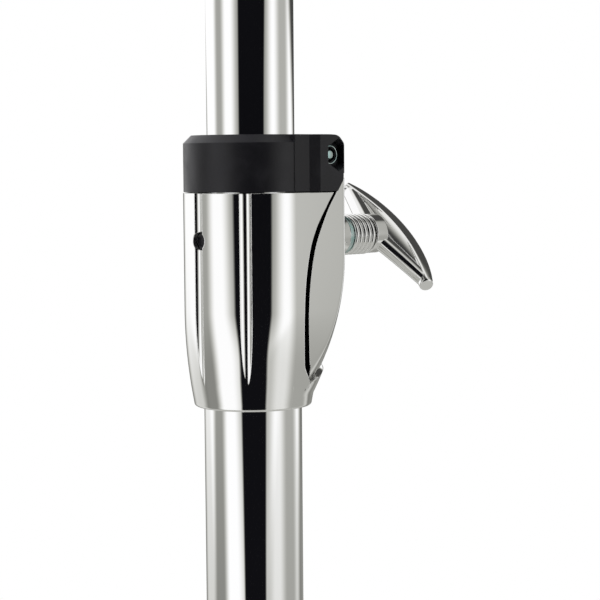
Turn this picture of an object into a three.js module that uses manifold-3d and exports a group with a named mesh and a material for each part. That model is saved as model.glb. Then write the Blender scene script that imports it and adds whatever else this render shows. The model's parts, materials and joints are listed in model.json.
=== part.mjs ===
// Straight cymbal stand: a folding tripod, three telescoping tubes with a clamp and a memory
// lock at each joint, and a tilter with felts for the cymbal.
// Millimetres, +Z up. The origin lies on the floor, under the centre of the bounding box.

import * as THREE from "three";
import { mergeVertices } from "three/addons/utils/BufferGeometryUtils.js";
import Module from "manifold-3d";

const wasm = await Module();
wasm.setup();

// Shared clearances and the fineness of round surfaces.
const slideGap = 0.1;
const turnGap = 0.2;
const seatGap = 0.3;
const cutOverrun = 5;
const weldDistance = 1e-4;
const roundSegments = 36;
const smallSegments = 18;
const tinySegments = 12;
const arcSegments = 8;
const barrelSteps = 4;
const frontSteps = 6;
const quarterTurn = Math.PI / 2;
const fullTurn = 2 * Math.PI;
const hexSides = 6;
const flatToCornerShare = Math.cos(Math.PI / 6);

// Tubes: each slides in the one below. Shows are lengths above the joint or tube below,
// and rises are the distances between the tubes' hidden feet.
const baseTubeRadius = 14.3;
const tubeWall = 1.2;
const tubeFit = 0.4;
const baseTubeFoot = 25;
const middleTubeRise = 75;
const topTubeRise = 120;
const middleTubeShow = 152;
const topTubeShow = 128;
const endCapSkirt = 12;
const endCapFloor = 3;
const endCapLip = 1.3;

// Lower clamp: a chrome casting on the base tube, whose bolt points along +X.
const clampTop = 532;
const clampHeight = 62;
const clampWall = 5.4;
const clampBarrelStart = 34;
const clampBarrelArc = 148;
const clampRimRound = 1.6;
const clampFrontRadius = 27.1;
const clampFrontStart = 18.3;
const clampFrontArc = 84;
const clampPanelArc = 73;
const clampBushLength = 24;
const clampBushWall = 2.8;
const clampBushSlit = 2;
const clampPegRadius = 2.5;
const clampPegInset = 1.6;
const boltDrop = 13.5;
const boltRadius = 4;
const noseWall = 2.4;
const noseRoot = 8.6;
const noseLength = 4.7;
const finRise = 4.6;
const panelTopReach = 18.2;
const panelMiddleReach = 4;
const panelMiddleDrop = 36.1;
const panelEndReach = 6.7;
const panelEndDrop = 54.7;
const panelLedgeRise = 4.4;
const panelLedgeRun = 9.2;
const grooveTopWidth = 1;
const grooveMiddleWidth = 1.9;
const grooveDepth = 2.2;
const fluteRadius = 1.9;
const fluteDepth = 1.2;
const fluteSpread = Math.PI / 4;

// Wing screws and the springs on them.
const washerRim = 2;
const washerThickness = 1.7;
const springStandOff = 0.3;
const springWire = 0.75;
const springFit = 0.4;
const springGap = 0.5;
const springTurns = 3;
const curlSteps = 8;
const curlSides = 5;
const leastCurlGap = 0.4;
const hubRadius = 6;
const hubLength = 4.4;
const wingTipRadius = 2.4;
const wingHalfSpan = 23.4;
const wingTipReach = 7.2;
const wingCrownReach = 14.6;
const wingRootHalf = 6.2;
const wingThickness = 4.8;
const lowerWingTurn = (127 * Math.PI) / 180;
const upperWingTurn = (70 * Math.PI) / 180;
const collarWingTurn = (25 * Math.PI) / 180;

// Memory locks: keyed nylon rings that sit on the clamps.
const lockHeight = 16.2;
const lockChamfer = 2.3;
const lockSlit = 2.2;
const lockFinGap = 0.9;
const lockScrewRadius = 2;
const lockScrewDrop = 5.8;
const lockScrewHeadRadius = 3.4;
const lockScrewHeadLength = 3.6;
const lockNutAcross = 4;
const lockNutLength = 3.2;
const lockPocketDepth = 5.6;

// Tripod: a fixed collar at the foot of the tube, a sliding collar above it, and three legs.
const pivotRadius = 34;
const bracePivotHeight = 54;
const braceLength = 160;
const legEndHeight = 11.518;
const legSpread = (57 * Math.PI) / 180;
const stripThickness = 2;
const legStripWidth = 15;
const stripFit = 0.2;
const braceStripWidth = 13;
const braceInnerWidth = 9.4;
const tongueGap = 0.4;
const tongueDrop = 9;
const collarWall = 4.2;
const braceCollarHeight = 30;
const legCollarHeight = 36;
const legCollarPivotDrop = 20;
const legScrewDrop = 10;
const collarNoseLength = 7.5;
const rivetRadius = 2.5;
const rivetHeadRadius = 4.6;
const rivetHeadLength = 2.2;
const rivetPlay = 0.15;
const footLength = 52;
const footSideWall = 3.6;
const footHeight = 19;
const footSole = 6;
const footHeel = 15;
const firstLegAngle = Math.PI / 3;
const legCount = 3;

// Tilter, rod, felts and nut at the top.
const tilterSocketLength = 24;
const tilterWall = 2.8;
const tilterPivotRise = 24;
const tilterTongueHalf = 5;
const tilterEarThickness = 4.4;
const tilterDiscRadius = 12.5;
const tilterBridgeGap = 2.5;
const tilterBridgeHeight = 7;
const tilterScrewRadius = 3;
const tilterHeadRadius = 5.4;
const tilterHeadLength = 4;
const tilterWingReach = 3;
const rodRadius = 4;
const rodLength = 88;
const rodSocketFloor = 2.8;
const seatRadius = 16;
const seatHubRadius = 7.6;
const seatThickness = 3;
const seatRise = 12;
const sleeveWall = 1.6;
const sleeveLength = 38;
const feltRadius = 20;
const lowerFeltHeight = 13;
const upperFeltHeight = 13;
const feltRound = 2.5;
const nutHeight = 9;
const nutRadius = 7;
const nutTaper = 1.6;
const nutWingSpan = 17;
const nutWingRise = 12;
const nutWingThickness = 3.4;

// Colours and finishes.
const chrome = new THREE.MeshStandardMaterial({ color: 0xd9dad8, roughness: 0.06, metalness: 1 });
const zinc = new THREE.MeshStandardMaterial({ color: 0xb4c4c2, roughness: 0.28, metalness: 1 });
const nylon = new THREE.MeshStandardMaterial({ color: 0x24232a, roughness: 0.5, metalness: 0 });
const rubber = new THREE.MeshStandardMaterial({ color: 0x17171a, roughness: 0.85, metalness: 0 });
const felt = new THREE.MeshStandardMaterial({ color: 0x3a3836, roughness: 1, metalness: 0 });

// Sizes that follow from the ones above.
const middleTubeRadius = baseTubeRadius - tubeWall - tubeFit;
const topTubeRadius = middleTubeRadius - tubeWall - tubeFit;
const middleTubeFoot = baseTubeFoot + endCapSkirt + middleTubeRise;
const topTubeFoot = middleTubeFoot + topTubeRise;
const middleTubeHead = clampTop + middleTubeShow;
const topTubeHead = middleTubeHead + topTubeShow;
const washerRadius = boltRadius + washerRim;
const noseRadius = boltRadius + noseWall;
const springRadius = boltRadius + springFit + springWire;
const springPitch = 2 * springWire + springGap;
const legPivotHeight = bracePivotHeight + 2 * braceLength * Math.cos(legSpread);
const legLength = (legPivotHeight - legEndHeight) / Math.cos(legSpread);
const midPivotRadius = pivotRadius + braceLength * Math.sin(legSpread);
const midPivotHeight = bracePivotHeight + braceLength * Math.cos(legSpread);
const braceOuterHalf = braceInnerWidth / 2 + stripThickness;
const legInnerWidth = 2 * (braceOuterHalf + stripFit);
const legOuterHalf = legInnerWidth / 2 + stripThickness;
const footWidth = 2 * (legOuterHalf + footSideWall);
const collarNoseReach = baseTubeRadius + collarWall + collarNoseLength;
const tilterBridgeRise = tilterDiscRadius + tilterBridgeGap;

// Turns the +Z axis of a shape to +X, with its X to +Y and its Y to +Z.
const alongX = new THREE.Matrix4().makeBasis(
  new THREE.Vector3(0, 1, 0),
  new THREE.Vector3(0, 0, 1),
  new THREE.Vector3(1, 0, 0),
);

// A closed triangle surface as a solid for joining and cutting.
function solidOf(geometry) {
  const bare = geometry.clone();
  bare.deleteAttribute("normal");
  bare.deleteAttribute("uv");
  const welded = mergeVertices(bare, weldDistance);
  const triangles = [];
  for (let i = 0; i < welded.index.count; i += 3) {
    const [a, b, c] = [0, 1, 2].map((k) => welded.index.getX(i + k));
    if (a !== b && b !== c && c !== a) triangles.push(a, b, c);
  }
  const solid = new wasm.Manifold(
    new wasm.Mesh({
      numProp: 3,
      vertProperties: welded.attributes.position.array,
      triVerts: new Uint32Array(triangles),
    }),
  );
  if (solid.volume() > 0) return solid;
  return new wasm.Manifold(
    new wasm.Mesh({
      numProp: 3,
      vertProperties: welded.attributes.position.array,
      triVerts: new Uint32Array(triangles.reverse()),
    }),
  );
}

// A solid as a geometry with flat faces.
function geometryOf(solid) {
  const mesh = solid.getMesh();
  const geometry = new THREE.BufferGeometry();
  geometry.setAttribute("position", new THREE.BufferAttribute(mesh.vertProperties.slice(), 3));
  geometry.setIndex(new THREE.BufferAttribute(mesh.triVerts.slice(), 1));
  const loose = geometry.toNonIndexed();
  loose.computeVertexNormals();
  return loose;
}

// A profile of [radius, height] points turned about +Z.
function turned(profile, segments = roundSegments) {
  const points = profile.map(([radius, height]) => new THREE.Vector2(radius, height));
  return new THREE.LatheGeometry(points, segments).rotateX(quarterTurn);
}

// A solid cylinder about +Z between two heights.
function rod(radius, bottom, top, segments = smallSegments) {
  return turned([[0, bottom], [radius, bottom], [radius, top], [0, top]], segments);
}

// A ring about +Z between two heights.
function ring(inner, outer, bottom, top, segments = roundSegments) {
  return turned([[inner, bottom], [outer, bottom], [outer, top], [inner, top], [inner, bottom]], segments);
}

// An outline in the X and Z directions, given thickness along Y and centred on that middle.
function sideSlab(shape, thickness, middle = 0) {
  const settings = { depth: thickness, bevelEnabled: false, curveSegments: arcSegments };
  const slab = new THREE.ExtrudeGeometry(shape, settings).rotateX(quarterTurn);
  return slab.translate(0, middle + thickness / 2, 0);
}

// A block between two corners.
function block(low, high) {
  const size = low.map((value, axis) => high[axis] - value);
  const middle = low.map((value, axis) => (high[axis] + value) / 2);
  return new THREE.BoxGeometry(...size).translate(...middle);
}

function shapeOf(points) {
  return new THREE.Shape(points.map(([x, y]) => new THREE.Vector2(x, y)));
}

function joined(...geometries) {
  return geometries.map(solidOf).reduce((whole, piece) => whole.add(piece));
}

function cut(solid, ...geometries) {
  return geometries.map(solidOf).reduce((whole, piece) => whole.subtract(piece), solid);
}

function named(name, geometry, material) {
  const mesh = new THREE.Mesh(geometry, material);
  mesh.name = name;
  return mesh;
}

// The circle through three points, as its centre and radius.
function circleThrough([ax, ay], [bx, by], [cx, cy]) {
  const d = 2 * (ax * (by - cy) + bx * (cy - ay) + cx * (ay - by));
  const [a, b, c] = [ax * ax + ay * ay, bx * bx + by * by, cx * cx + cy * cy];
  const x = (a * (by - cy) + b * (cy - ay) + c * (ay - by)) / d;
  const y = (a * (cx - bx) + b * (ax - cx) + c * (bx - ax)) / d;
  return { x, y, radius: Math.hypot(ax - x, ay - y) };
}

// Points along the short arc of a circle between two heights, on the side of small X.
function leftArc(circle, fromHeight, toHeight, steps = arcSegments) {
  return Array.from({ length: steps + 1 }, (_, i) => {
    const height = fromHeight + ((toHeight - fromHeight) * i) / steps;
    return [circle.x - Math.sqrt(circle.radius ** 2 - (height - circle.y) ** 2), height];
  });
}

// How far a barrel's surface has drawn in at a depth past the start of its arc.
function barrelDrop(depth, arc) {
  return depth > 0 ? arc - Math.sqrt(arc ** 2 - depth ** 2) : 0;
}

// A hexagonal nut about +Z, with a corner towards +Y.
function hexNut(hole, corner, bottom, top) {
  const bore = rod(hole + turnGap, bottom - cutOverrun, top + cutOverrun, tinySegments);
  return geometryOf(cut(solidOf(rod(corner, bottom, top, hexSides)), bore));
}

// Tubes.
function tube(name, radius, foot, head) {
  return named(name, ring(radius - tubeWall, radius, foot, head), chrome);
}

function endCap() {
  const inside = baseTubeRadius - tubeWall - slideGap;
  const profile = [
    [0, baseTubeFoot - endCapFloor],
    [baseTubeRadius + endCapLip, baseTubeFoot - endCapFloor],
    [baseTubeRadius + endCapLip, baseTubeFoot],
    [inside, baseTubeFoot],
    [inside, baseTubeFoot + endCapSkirt],
    [0, baseTubeFoot + endCapSkirt],
  ];
  return named("base_tube_end_cap", turned(profile), rubber);
}

// All the sizes of one clamp, for the tube that it stands on and the tube that slides in it.
// The share scales the casting to its tubes; screws and springs are the same on every clamp.
function clampSizes(top, outerTube, innerTube, share) {
  const half = outerTube + clampWall * share;
  const height = clampHeight * share;
  const panelEnd = [panelEndReach * share, -panelEndDrop * share];
  const panelMiddle = [panelMiddleReach * share, -panelMiddleDrop * share];
  const panelTop = [panelTopReach * share, finRise * share];
  return {
    top,
    share,
    outerTube,
    innerTube,
    half,
    height,
    front: clampFrontRadius * share,
    bushRadius: innerTube + clampBushWall,
    bushLength: clampBushLength * share,
    boltHeight: -boltDrop * share,
    nose: clampFrontRadius * share + noseLength,
    panelEnd,
    panelMiddle,
    panelTop,
    panelCircle: circleThrough(panelTop, panelMiddle, panelEnd),
  };
}

// The outline of the front panel from the side, grown outwards by a gap.
function panelOutline(size, grow) {
  const { panelCircle, panelTop, panelEnd, front } = size;
  const circle = { ...panelCircle, radius: panelCircle.radius + grow };
  const foot = panelEnd[1] - grow;
  const reach = front + cutOverrun;
  const rise = ((reach - panelEnd[0]) * panelLedgeRise) / panelLedgeRun;
  const crest = panelTop[1] + grow;
  return shapeOf([...leftArc(circle, crest, foot), [reach, foot + rise], [reach, crest]]);
}

// The half widths of the clamp's barrel from its rim to its top.
function barrelProfile(size) {
  const start = clampBarrelStart * size.share;
  const arc = clampBarrelArc * size.share;
  const round = clampRimRound * size.share;
  const end = size.height - round;
  const depths = Array.from({ length: barrelSteps + 1 }, (_, i) => end - ((end - start) * i) / barrelSteps);
  const rim = size.half - barrelDrop(end - start, arc) - round;
  const side = depths.map((depth) => [size.half - barrelDrop(depth - start, arc), -depth]);
  return [[rim, -size.height], ...side];
}

function frontProfile(size, arc, top) {
  const start = clampFrontStart * size.share;
  const round = clampRimRound * size.share;
  const end = size.height - round;
  const steps = Array.from({ length: frontSteps + 1 }, (_, i) => end - ((end - start) * i) / frontSteps);
  const rim = size.front - barrelDrop(end - start, arc * size.share) - round;
  const side = steps.map((depth) => [size.front - barrelDrop(depth - start, arc * size.share), -depth]);
  return [[0, -size.height], [rim, -size.height], ...side, [size.front, top], [0, top]];
}

function clampHousing(name, size) {
  const profile = barrelProfile(size);
  const barrel = turned([[0, -size.height], ...profile, [size.half, 0], [0, 0]]);
  const section = shapeOf([
    ...profile,
    [size.half, 0],
    [-size.half, 0],
    ...profile.map(([half, height]) => [-half, height]).reverse(),
  ]);
  const reach = { depth: size.front + cutOverrun, bevelEnabled: false };
  const cheeks = new THREE.ExtrudeGeometry(section, reach).applyMatrix4(alongX);
  const width = 2 * (size.half + cutOverrun);
  const body = joined(barrel, cheeks).intersect(solidOf(turned(frontProfile(size, clampFrontArc, 0))));
  const panel = solidOf(sideSlab(panelOutline(size, seatGap), width));
  const front = panel.intersect(solidOf(turned(frontProfile(size, clampPanelArc, size.panelTop[1]))));
  const fin = block([0, -size.half, -cutOverrun], [size.front + cutOverrun, size.half, size.panelTop[1]]);
  const slimmed = joined(barrel, cheeks, fin);
  const nose = turned([
    [0, 0],
    [noseRoot * size.share, 0],
    [noseRoot * size.share, size.front - washerThickness],
    [noseRadius, size.nose],
    [0, size.nose],
  ], smallSegments).rotateY(quarterTurn).translate(0, 0, size.boltHeight);
  const behind = cut(body, sideSlab(panelOutline(size, 0), width));
  const whole = behind.add(front.intersect(slimmed)).add(solidOf(nose));
  return named(name, geometryOf(cut(whole, ...clampCuts(size))), chrome);
}

// Everything that is cut away from a clamp: bores, bolt hole, peg hole, grooves and flutes.
function clampCuts(size) {
  const shoulder = -size.bushLength;
  const bolt = rod(boltRadius + turnGap, 0, size.nose + cutOverrun).rotateY(quarterTurn);
  const peg = rod(clampPegRadius + slideGap, 0, size.half + cutOverrun, tinySegments).rotateY(-quarterTurn);
  const groove = grooveOutline(size);
  const flutes = [-fluteSpread, 0, fluteSpread].map((angle) => {
    const distance = size.half - fluteDepth + fluteRadius;
    const flute = rod(fluteRadius, -size.height - cutOverrun, cutOverrun, tinySegments);
    return flute.translate(-distance * Math.cos(angle), distance * Math.sin(angle), 0);
  });
  return [
    rod(size.outerTube + slideGap, -size.height - cutOverrun, shoulder, roundSegments),
    rod(size.bushRadius + slideGap, shoulder - slideGap, size.panelTop[1] + cutOverrun, roundSegments),
    bolt.translate(0, 0, size.boltHeight),
    peg.translate(0, 0, size.boltHeight),
    sideSlab(groove, grooveDepth + cutOverrun, size.half + (cutOverrun - grooveDepth) / 2),
    sideSlab(groove, grooveDepth + cutOverrun, -size.half - (cutOverrun - grooveDepth) / 2),
    ...flutes,
  ];
}

// The crescent between the panel's edge and a second, wider arc.
function grooveOutline(size) {
  const { panelTop, panelMiddle, panelEnd, panelCircle, share } = size;
  const wide = circleThrough(
    [panelTop[0] - grooveTopWidth * share, panelTop[1]],
    [panelMiddle[0] - grooveMiddleWidth * share, panelMiddle[1]],
    [panelEnd[0] - slideGap, panelEnd[1]],
  );
  const edge = leftArc(panelCircle, panelEnd[1], panelTop[1]);
  return shapeOf([...leftArc(wide, panelTop[1], panelEnd[1]), ...edge]);
}

function clampBush(name, size) {
  const inner = size.innerTube + slideGap;
  const sleeve = ring(inner, size.bushRadius, -size.bushLength, 0);
  const pegTip = size.half - clampPegInset;
  const peg = rod(clampPegRadius, inner + slideGap, pegTip, tinySegments).rotateY(-quarterTurn);
  const slit = block(
    [-clampBushSlit / 2, inner - cutOverrun, -size.bushLength - cutOverrun],
    [clampBushSlit / 2, size.bushRadius + cutOverrun, cutOverrun],
  );
  const whole = joined(sleeve, peg.translate(0, 0, size.boltHeight));
  return named(name, geometryOf(cut(whole, slit)), nylon);
}

// A compression spring along +Z, one unbroken wire with a short straight end each side.
function spring(name, turns) {
  const steps = Math.round(turns * curlSteps);
  const climb = springPitch / fullTurn;
  const lead = 2 * springWire;
  const centres = [];
  const tangents = [];
  const place = (angle) => [springRadius * Math.cos(angle), springRadius * Math.sin(angle)];
  const push = (angle, height, tangent) => {
    centres.push([new THREE.Vector3(...place(angle), height), angle]);
    tangents.push(tangent.normalize());
  };
  const slope = (angle) =>
    new THREE.Vector3(-springRadius * Math.sin(angle), springRadius * Math.cos(angle), climb).normalize();
  const up = new THREE.Vector3(0, 0, 1);
  push(0, 0, up.clone());
  for (let i = 0; i <= steps; i += 1) {
    const angle = (i * fullTurn) / curlSteps;
    const bend = i === 0 || i === steps ? slope(angle).add(up) : slope(angle);
    push(angle, lead + climb * angle, bend);
  }
  const lastAngle = (steps * fullTurn) / curlSteps;
  push(lastAngle, 2 * lead + climb * lastAngle, up.clone());
  const rings = centres.map(([centre, angle], i) => {
    const outward = new THREE.Vector3(Math.cos(angle), Math.sin(angle), 0);
    const across = new THREE.Vector3().crossVectors(tangents[i], outward).normalize();
    return Array.from({ length: curlSides }, (_, k) => {
      const turn = (k * fullTurn) / curlSides;
      return centre.clone()
        .addScaledVector(outward, springWire * Math.cos(turn))
        .addScaledVector(across, springWire * Math.sin(turn));
    });
  });
  console.log(name, "least gap between curls", leastGap(rings).toFixed(2), "mm, wanted over", leastCurlGap);
  return named(name, skinned(rings), chrome);
}

// The least distance between points of the wire that lie more than half a curl apart.
function leastGap(rings) {
  let least = Infinity;
  for (let i = 0; i < rings.length; i += 1) {
    for (let j = i + curlSteps / 2 + 1; j < rings.length; j += 1) {
      for (const a of rings[i]) {
        for (const b of rings[j]) least = Math.min(least, a.distanceTo(b));
      }
    }
  }
  return least;
}

// A closed surface through equal rings of points.
function skinned(rings) {
  const sides = rings[0].length;
  const positions = rings.flat().flatMap((point) => point.toArray());
  const index = [];
  for (let i = 0; i + 1 < rings.length; i += 1) {
    for (let k = 0; k < sides; k += 1) {
      const [a, b] = [i * sides + k, i * sides + ((k + 1) % sides)];
      index.push(a, b, b + sides, a, b + sides, a + sides);
    }
  }
  const last = (rings.length - 1) * sides;
  for (let k = 1; k + 1 < sides; k += 1) {
    index.push(0, k + 1, k, last, last + k, last + k + 1);
  }
  const geometry = new THREE.BufferGeometry();
  geometry.setAttribute("position", new THREE.Float32BufferAttribute(positions, 3));
  geometry.setIndex(index);
  return geometryOf(solidOf(geometry));
}

function springLength(turns) {
  return 4 * springWire + springPitch * turns;
}

// The flat blade of a wing screw: its outline stands across X, with its root towards -Z.
function wingBlade(root) {
  const tip = root + wingTipReach;
  const near = tip - wingTipRadius;
  const far = tip + wingTipRadius;
  const crown = root + wingCrownReach;
  const arm = wingHalfSpan - wingTipRadius;
  const end = wingHalfSpan + wingTipRadius;
  const outline = new THREE.Shape();
  outline.moveTo(-wingRootHalf, root);
  outline.lineTo(-arm, near);
  outline.quadraticCurveTo(-end, tip, -arm, far);
  outline.quadraticCurveTo(0, 2 * crown - far, arm, far);
  outline.quadraticCurveTo(end, tip, arm, near);
  outline.lineTo(wingRootHalf, root);
  return sideSlab(outline, wingThickness);
}

// A wing screw along +Z: its shank from the tip, the hub and the wing.
function wingScrew(name, shank, tip, hubStart) {
  const hubEnd = hubStart + hubLength;
  const body = turned([
    [0, tip],
    [shank, tip],
    [shank, hubStart],
    [hubRadius, hubStart],
    [hubRadius, hubEnd],
    [hubRadius - wingTipRadius, hubEnd + wingTipRadius],
    [0, hubEnd + wingTipRadius],
  ], smallSegments);
  return named(name, geometryOf(joined(body, wingBlade(hubEnd - wingTipRadius))), chrome);
}

// A clamp's bolt with its washer and spring, seated on the nose along +X.
function clampScrew(prefix, tip, nose, height, turn) {
  const group = new THREE.Group();
  const washer = nose + springStandOff;
  const springStart = washer + washerThickness + springStandOff;
  const hub = springStart + springLength(springTurns) + springStandOff;
  const washerRing = ring(boltRadius + seatGap, washerRadius, washer, washer + washerThickness, smallSegments);
  const coil = spring(`${prefix}_spring`, springTurns);
  coil.position.z = springStart;
  group.add(named(`${prefix}_washer`, washerRing, zinc));
  group.add(coil);
  group.add(wingScrew(`${prefix}_wing_screw`, boltRadius, tip, hub));
  group.rotation.set(0, quarterTurn, 0);
  const turnedGroup = new THREE.Group();
  turnedGroup.rotation.x = turn;
  turnedGroup.position.z = height;
  turnedGroup.add(group);
  return turnedGroup;
}

// A keyed nylon ring that sits on a clamp, with its cross screw and nut.
function memoryLock(prefix, size) {
  const height = lockHeight * size.share;
  const chamfer = lockChamfer * size.share;
  const bore = size.innerTube + slideGap;
  const head = seatGap + height;
  const round = turned([
    [0, seatGap],
    [size.half, seatGap],
    [size.half, head - chamfer],
    [size.half - chamfer, head],
    [0, head],
  ]);
  const behind = block([-size.half, -size.half, 0], [0, size.half, head]);
  const front = sideSlab(shapeOf([
    [0, seatGap],
    [size.front, seatGap],
    [size.front, head - chamfer],
    [size.front - chamfer, head],
    [0, head],
  ]), 2 * size.half);
  const limit = rod(size.front, 0, head, roundSegments);
  const screwAlong = bore + lockScrewRadius + seatGap;
  const screwHeight = head - lockScrewDrop * size.share;
  const slit = block([0, -lockSlit / 2, 0], [size.front, lockSlit / 2, head + cutOverrun]);
  const hole = rod(lockScrewRadius + turnGap, -size.half - cutOverrun, size.half + cutOverrun, tinySegments);
  const pocketHead = size.half - lockPocketDepth;
  const pocketCorner = (lockNutAcross + slideGap) / flatToCornerShare;
  const nutPocket = rod(pocketCorner, pocketHead, size.half + cutOverrun, hexSides);
  const headPocket = rod(lockScrewHeadRadius + turnGap, pocketHead, size.half + cutOverrun, tinySegments);
  const acrossY = (geometry) => geometry.rotateX(quarterTurn).translate(screwAlong, 0, screwHeight);
  const shell = solidOf(round).intersect(solidOf(behind)).add(solidOf(front)).intersect(solidOf(limit));
  const body = cut(
    shell,
    rod(bore, -cutOverrun, head + cutOverrun, roundSegments),
    sideSlab(panelOutline(size, lockFinGap), 2 * (size.half + cutOverrun)),
    slit,
    acrossY(hole),
    acrossY(nutPocket),
    acrossY(headPocket.rotateX(Math.PI)),
  );
  const nutSeat = pocketHead + slideGap;
  const nut = hexNut(lockScrewRadius, lockNutAcross / flatToCornerShare, nutSeat, nutSeat + lockNutLength);
  const screw = turned([
    [0, -nutSeat - lockScrewHeadLength],
    [lockScrewHeadRadius, -nutSeat - lockScrewHeadLength],
    [lockScrewHeadRadius, -nutSeat],
    [lockScrewRadius, -nutSeat],
    [lockScrewRadius, nutSeat + lockNutLength],
    [0, nutSeat + lockNutLength],
  ], tinySegments);
  const group = new THREE.Group();
  group.position.z = size.top;
  group.add(named(`${prefix}_ring`, geometryOf(body), nylon));
  group.add(named(`${prefix}_screw`, acrossY(screw), zinc));
  group.add(named(`${prefix}_nut`, acrossY(nut), zinc));
  return group;
}

// One telescoping joint: casting, bush, wing screw and memory lock.
function clampGroup(prefix, size, turn) {
  const group = new THREE.Group();
  const clamp = new THREE.Group();
  clamp.position.z = size.top;
  clamp.add(clampHousing(`${prefix}_clamp_housing`, size));
  clamp.add(clampBush(`${prefix}_clamp_bush`, size));
  clamp.add(clampScrew(`${prefix}_clamp`, size.bushRadius + seatGap, size.nose, size.boltHeight, turn));
  group.add(clamp);
  group.add(memoryLock(`${prefix}_memory_lock`, size));
  return group;
}

// The top end of a tube stops inside its clamp, just under the bush.
function tubeHeadIn(size) {
  return size.top - size.bushLength - 2 * slideGap;
}

// A collar round the base tube with a tongue towards each leg.
function collar(bottom, height, pivotHeight, tongueHalf, hole) {
  const outer = baseTubeRadius + collarWall;
  const body = ring(baseTubeRadius + slideGap, outer, bottom, bottom + height);
  const reach = pivotRadius + tongueDrop / 2;
  const tongue = shapeOf([
    [baseTubeRadius + collarWall / 2, pivotHeight - tongueDrop],
    [pivotRadius, pivotHeight - tongueDrop / 2],
    [reach, pivotHeight - tongueDrop / 4],
    [reach, pivotHeight + tongueDrop / 4],
    [pivotRadius, pivotHeight + tongueDrop / 2],
    [baseTubeRadius + collarWall / 2, pivotHeight + tongueDrop],
  ]);
  const pieces = legAngles().map((angle) => sideSlab(tongue, 2 * tongueHalf).rotateZ(angle));
  const holes = legAngles().map((angle) => {
    const bar = rod(hole, -tongueHalf - cutOverrun, tongueHalf + cutOverrun, tinySegments);
    return bar.rotateX(quarterTurn).translate(pivotRadius, 0, pivotHeight).rotateZ(angle);
  });
  return cut(joined(body, ...pieces), ...holes);
}

function legAngles() {
  return Array.from({ length: legCount }, (_, i) => firstLegAngle + (i * fullTurn) / legCount);
}

// A flat bar along +X with one round end at the first pivot and one hole further along.
function strip(length, width, thickness, place) {
  const shape = new THREE.Shape();
  shape.absarc(0, 0, width / 2, quarterTurn, 3 * quarterTurn);
  shape.lineTo(length, -width / 2);
  shape.lineTo(length, width / 2);
  shape.holes.push(pivotHole(place));
  return sideSlab(shape, thickness);
}

function pivotHole(place) {
  const hole = new THREE.Path();
  hole.absarc(place, 0, rivetRadius + rivetPlay, 0, fullTurn);
  return hole;
}

// A bar with both ends round, with a hole at each end.
function link(length, width, thickness) {
  const shape = new THREE.Shape();
  shape.absarc(0, 0, width / 2, quarterTurn, 3 * quarterTurn);
  shape.absarc(length, 0, width / 2, -quarterTurn, quarterTurn);
  shape.holes.push(pivotHole(0), pivotHole(length));
  return sideSlab(shape, thickness);
}

// A rivet across Y whose heads stand outside two half widths.
function rivet(half) {
  const seat = half + rivetPlay;
  return turned([
    [0, -seat - rivetHeadLength],
    [rivetHeadRadius / 2, -seat - rivetHeadLength],
    [rivetHeadRadius, -seat - rivetHeadLength / 3],
    [rivetHeadRadius, -seat],
    [rivetRadius, -seat],
    [rivetRadius, seat],
    [rivetHeadRadius, seat],
    [rivetHeadRadius, seat + rivetHeadLength / 3],
    [rivetHeadRadius / 2, seat + rivetHeadLength],
    [0, seat + rivetHeadLength],
  ], tinySegments).rotateX(quarterTurn);
}

// The domed head that closes a leg strip over its collar pin.
function stripHead(side) {
  const seat = legOuterHalf - stripThickness / 2;
  const head = turned([
    [0, seat],
    [rivetHeadRadius, seat],
    [rivetHeadRadius, legOuterHalf + rivetHeadLength / 3],
    [rivetHeadRadius / 2, legOuterHalf + rivetHeadLength],
    [0, legOuterHalf + rivetHeadLength],
  ], tinySegments);
  return head.rotateX(-side * quarterTurn);
}

// The rubber boot at the end of a leg, with its flat sole on the floor.
function foot(name, endRadius) {
  const outline = shapeOf([
    [endRadius - footLength + footHeel, 0],
    [endRadius + footHeel - footSole / 2, 0],
    [endRadius + footHeel, footSole / 2],
    [endRadius + footHeel, footSole],
    [endRadius + footHeel - footSole, footHeight],
    [endRadius - footSole, footHeight + footSole],
    [endRadius - footLength + footHeel, footHeight + 2 * footSole],
    [endRadius - footLength + footHeel - footSole / 2, footSole],
  ]);
  const body = sideSlab(outline, footWidth);
  const pocketHalf = legStripWidth / 2 + seatGap;
  const slotHalf = stripThickness / 2 + seatGap;
  const stripMiddle = (legInnerWidth + stripThickness) / 2;
  const slot = (side) => {
    const hole = block([-legLength, -slotHalf, -pocketHalf], [seatGap, slotHalf, pocketHalf]);
    return hole.rotateY(quarterTurn - legSpread).translate(endRadius, side * stripMiddle, legEndHeight);
  };
  return named(name, geometryOf(cut(solidOf(body), slot(-1), slot(1))), rubber);
}

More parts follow.
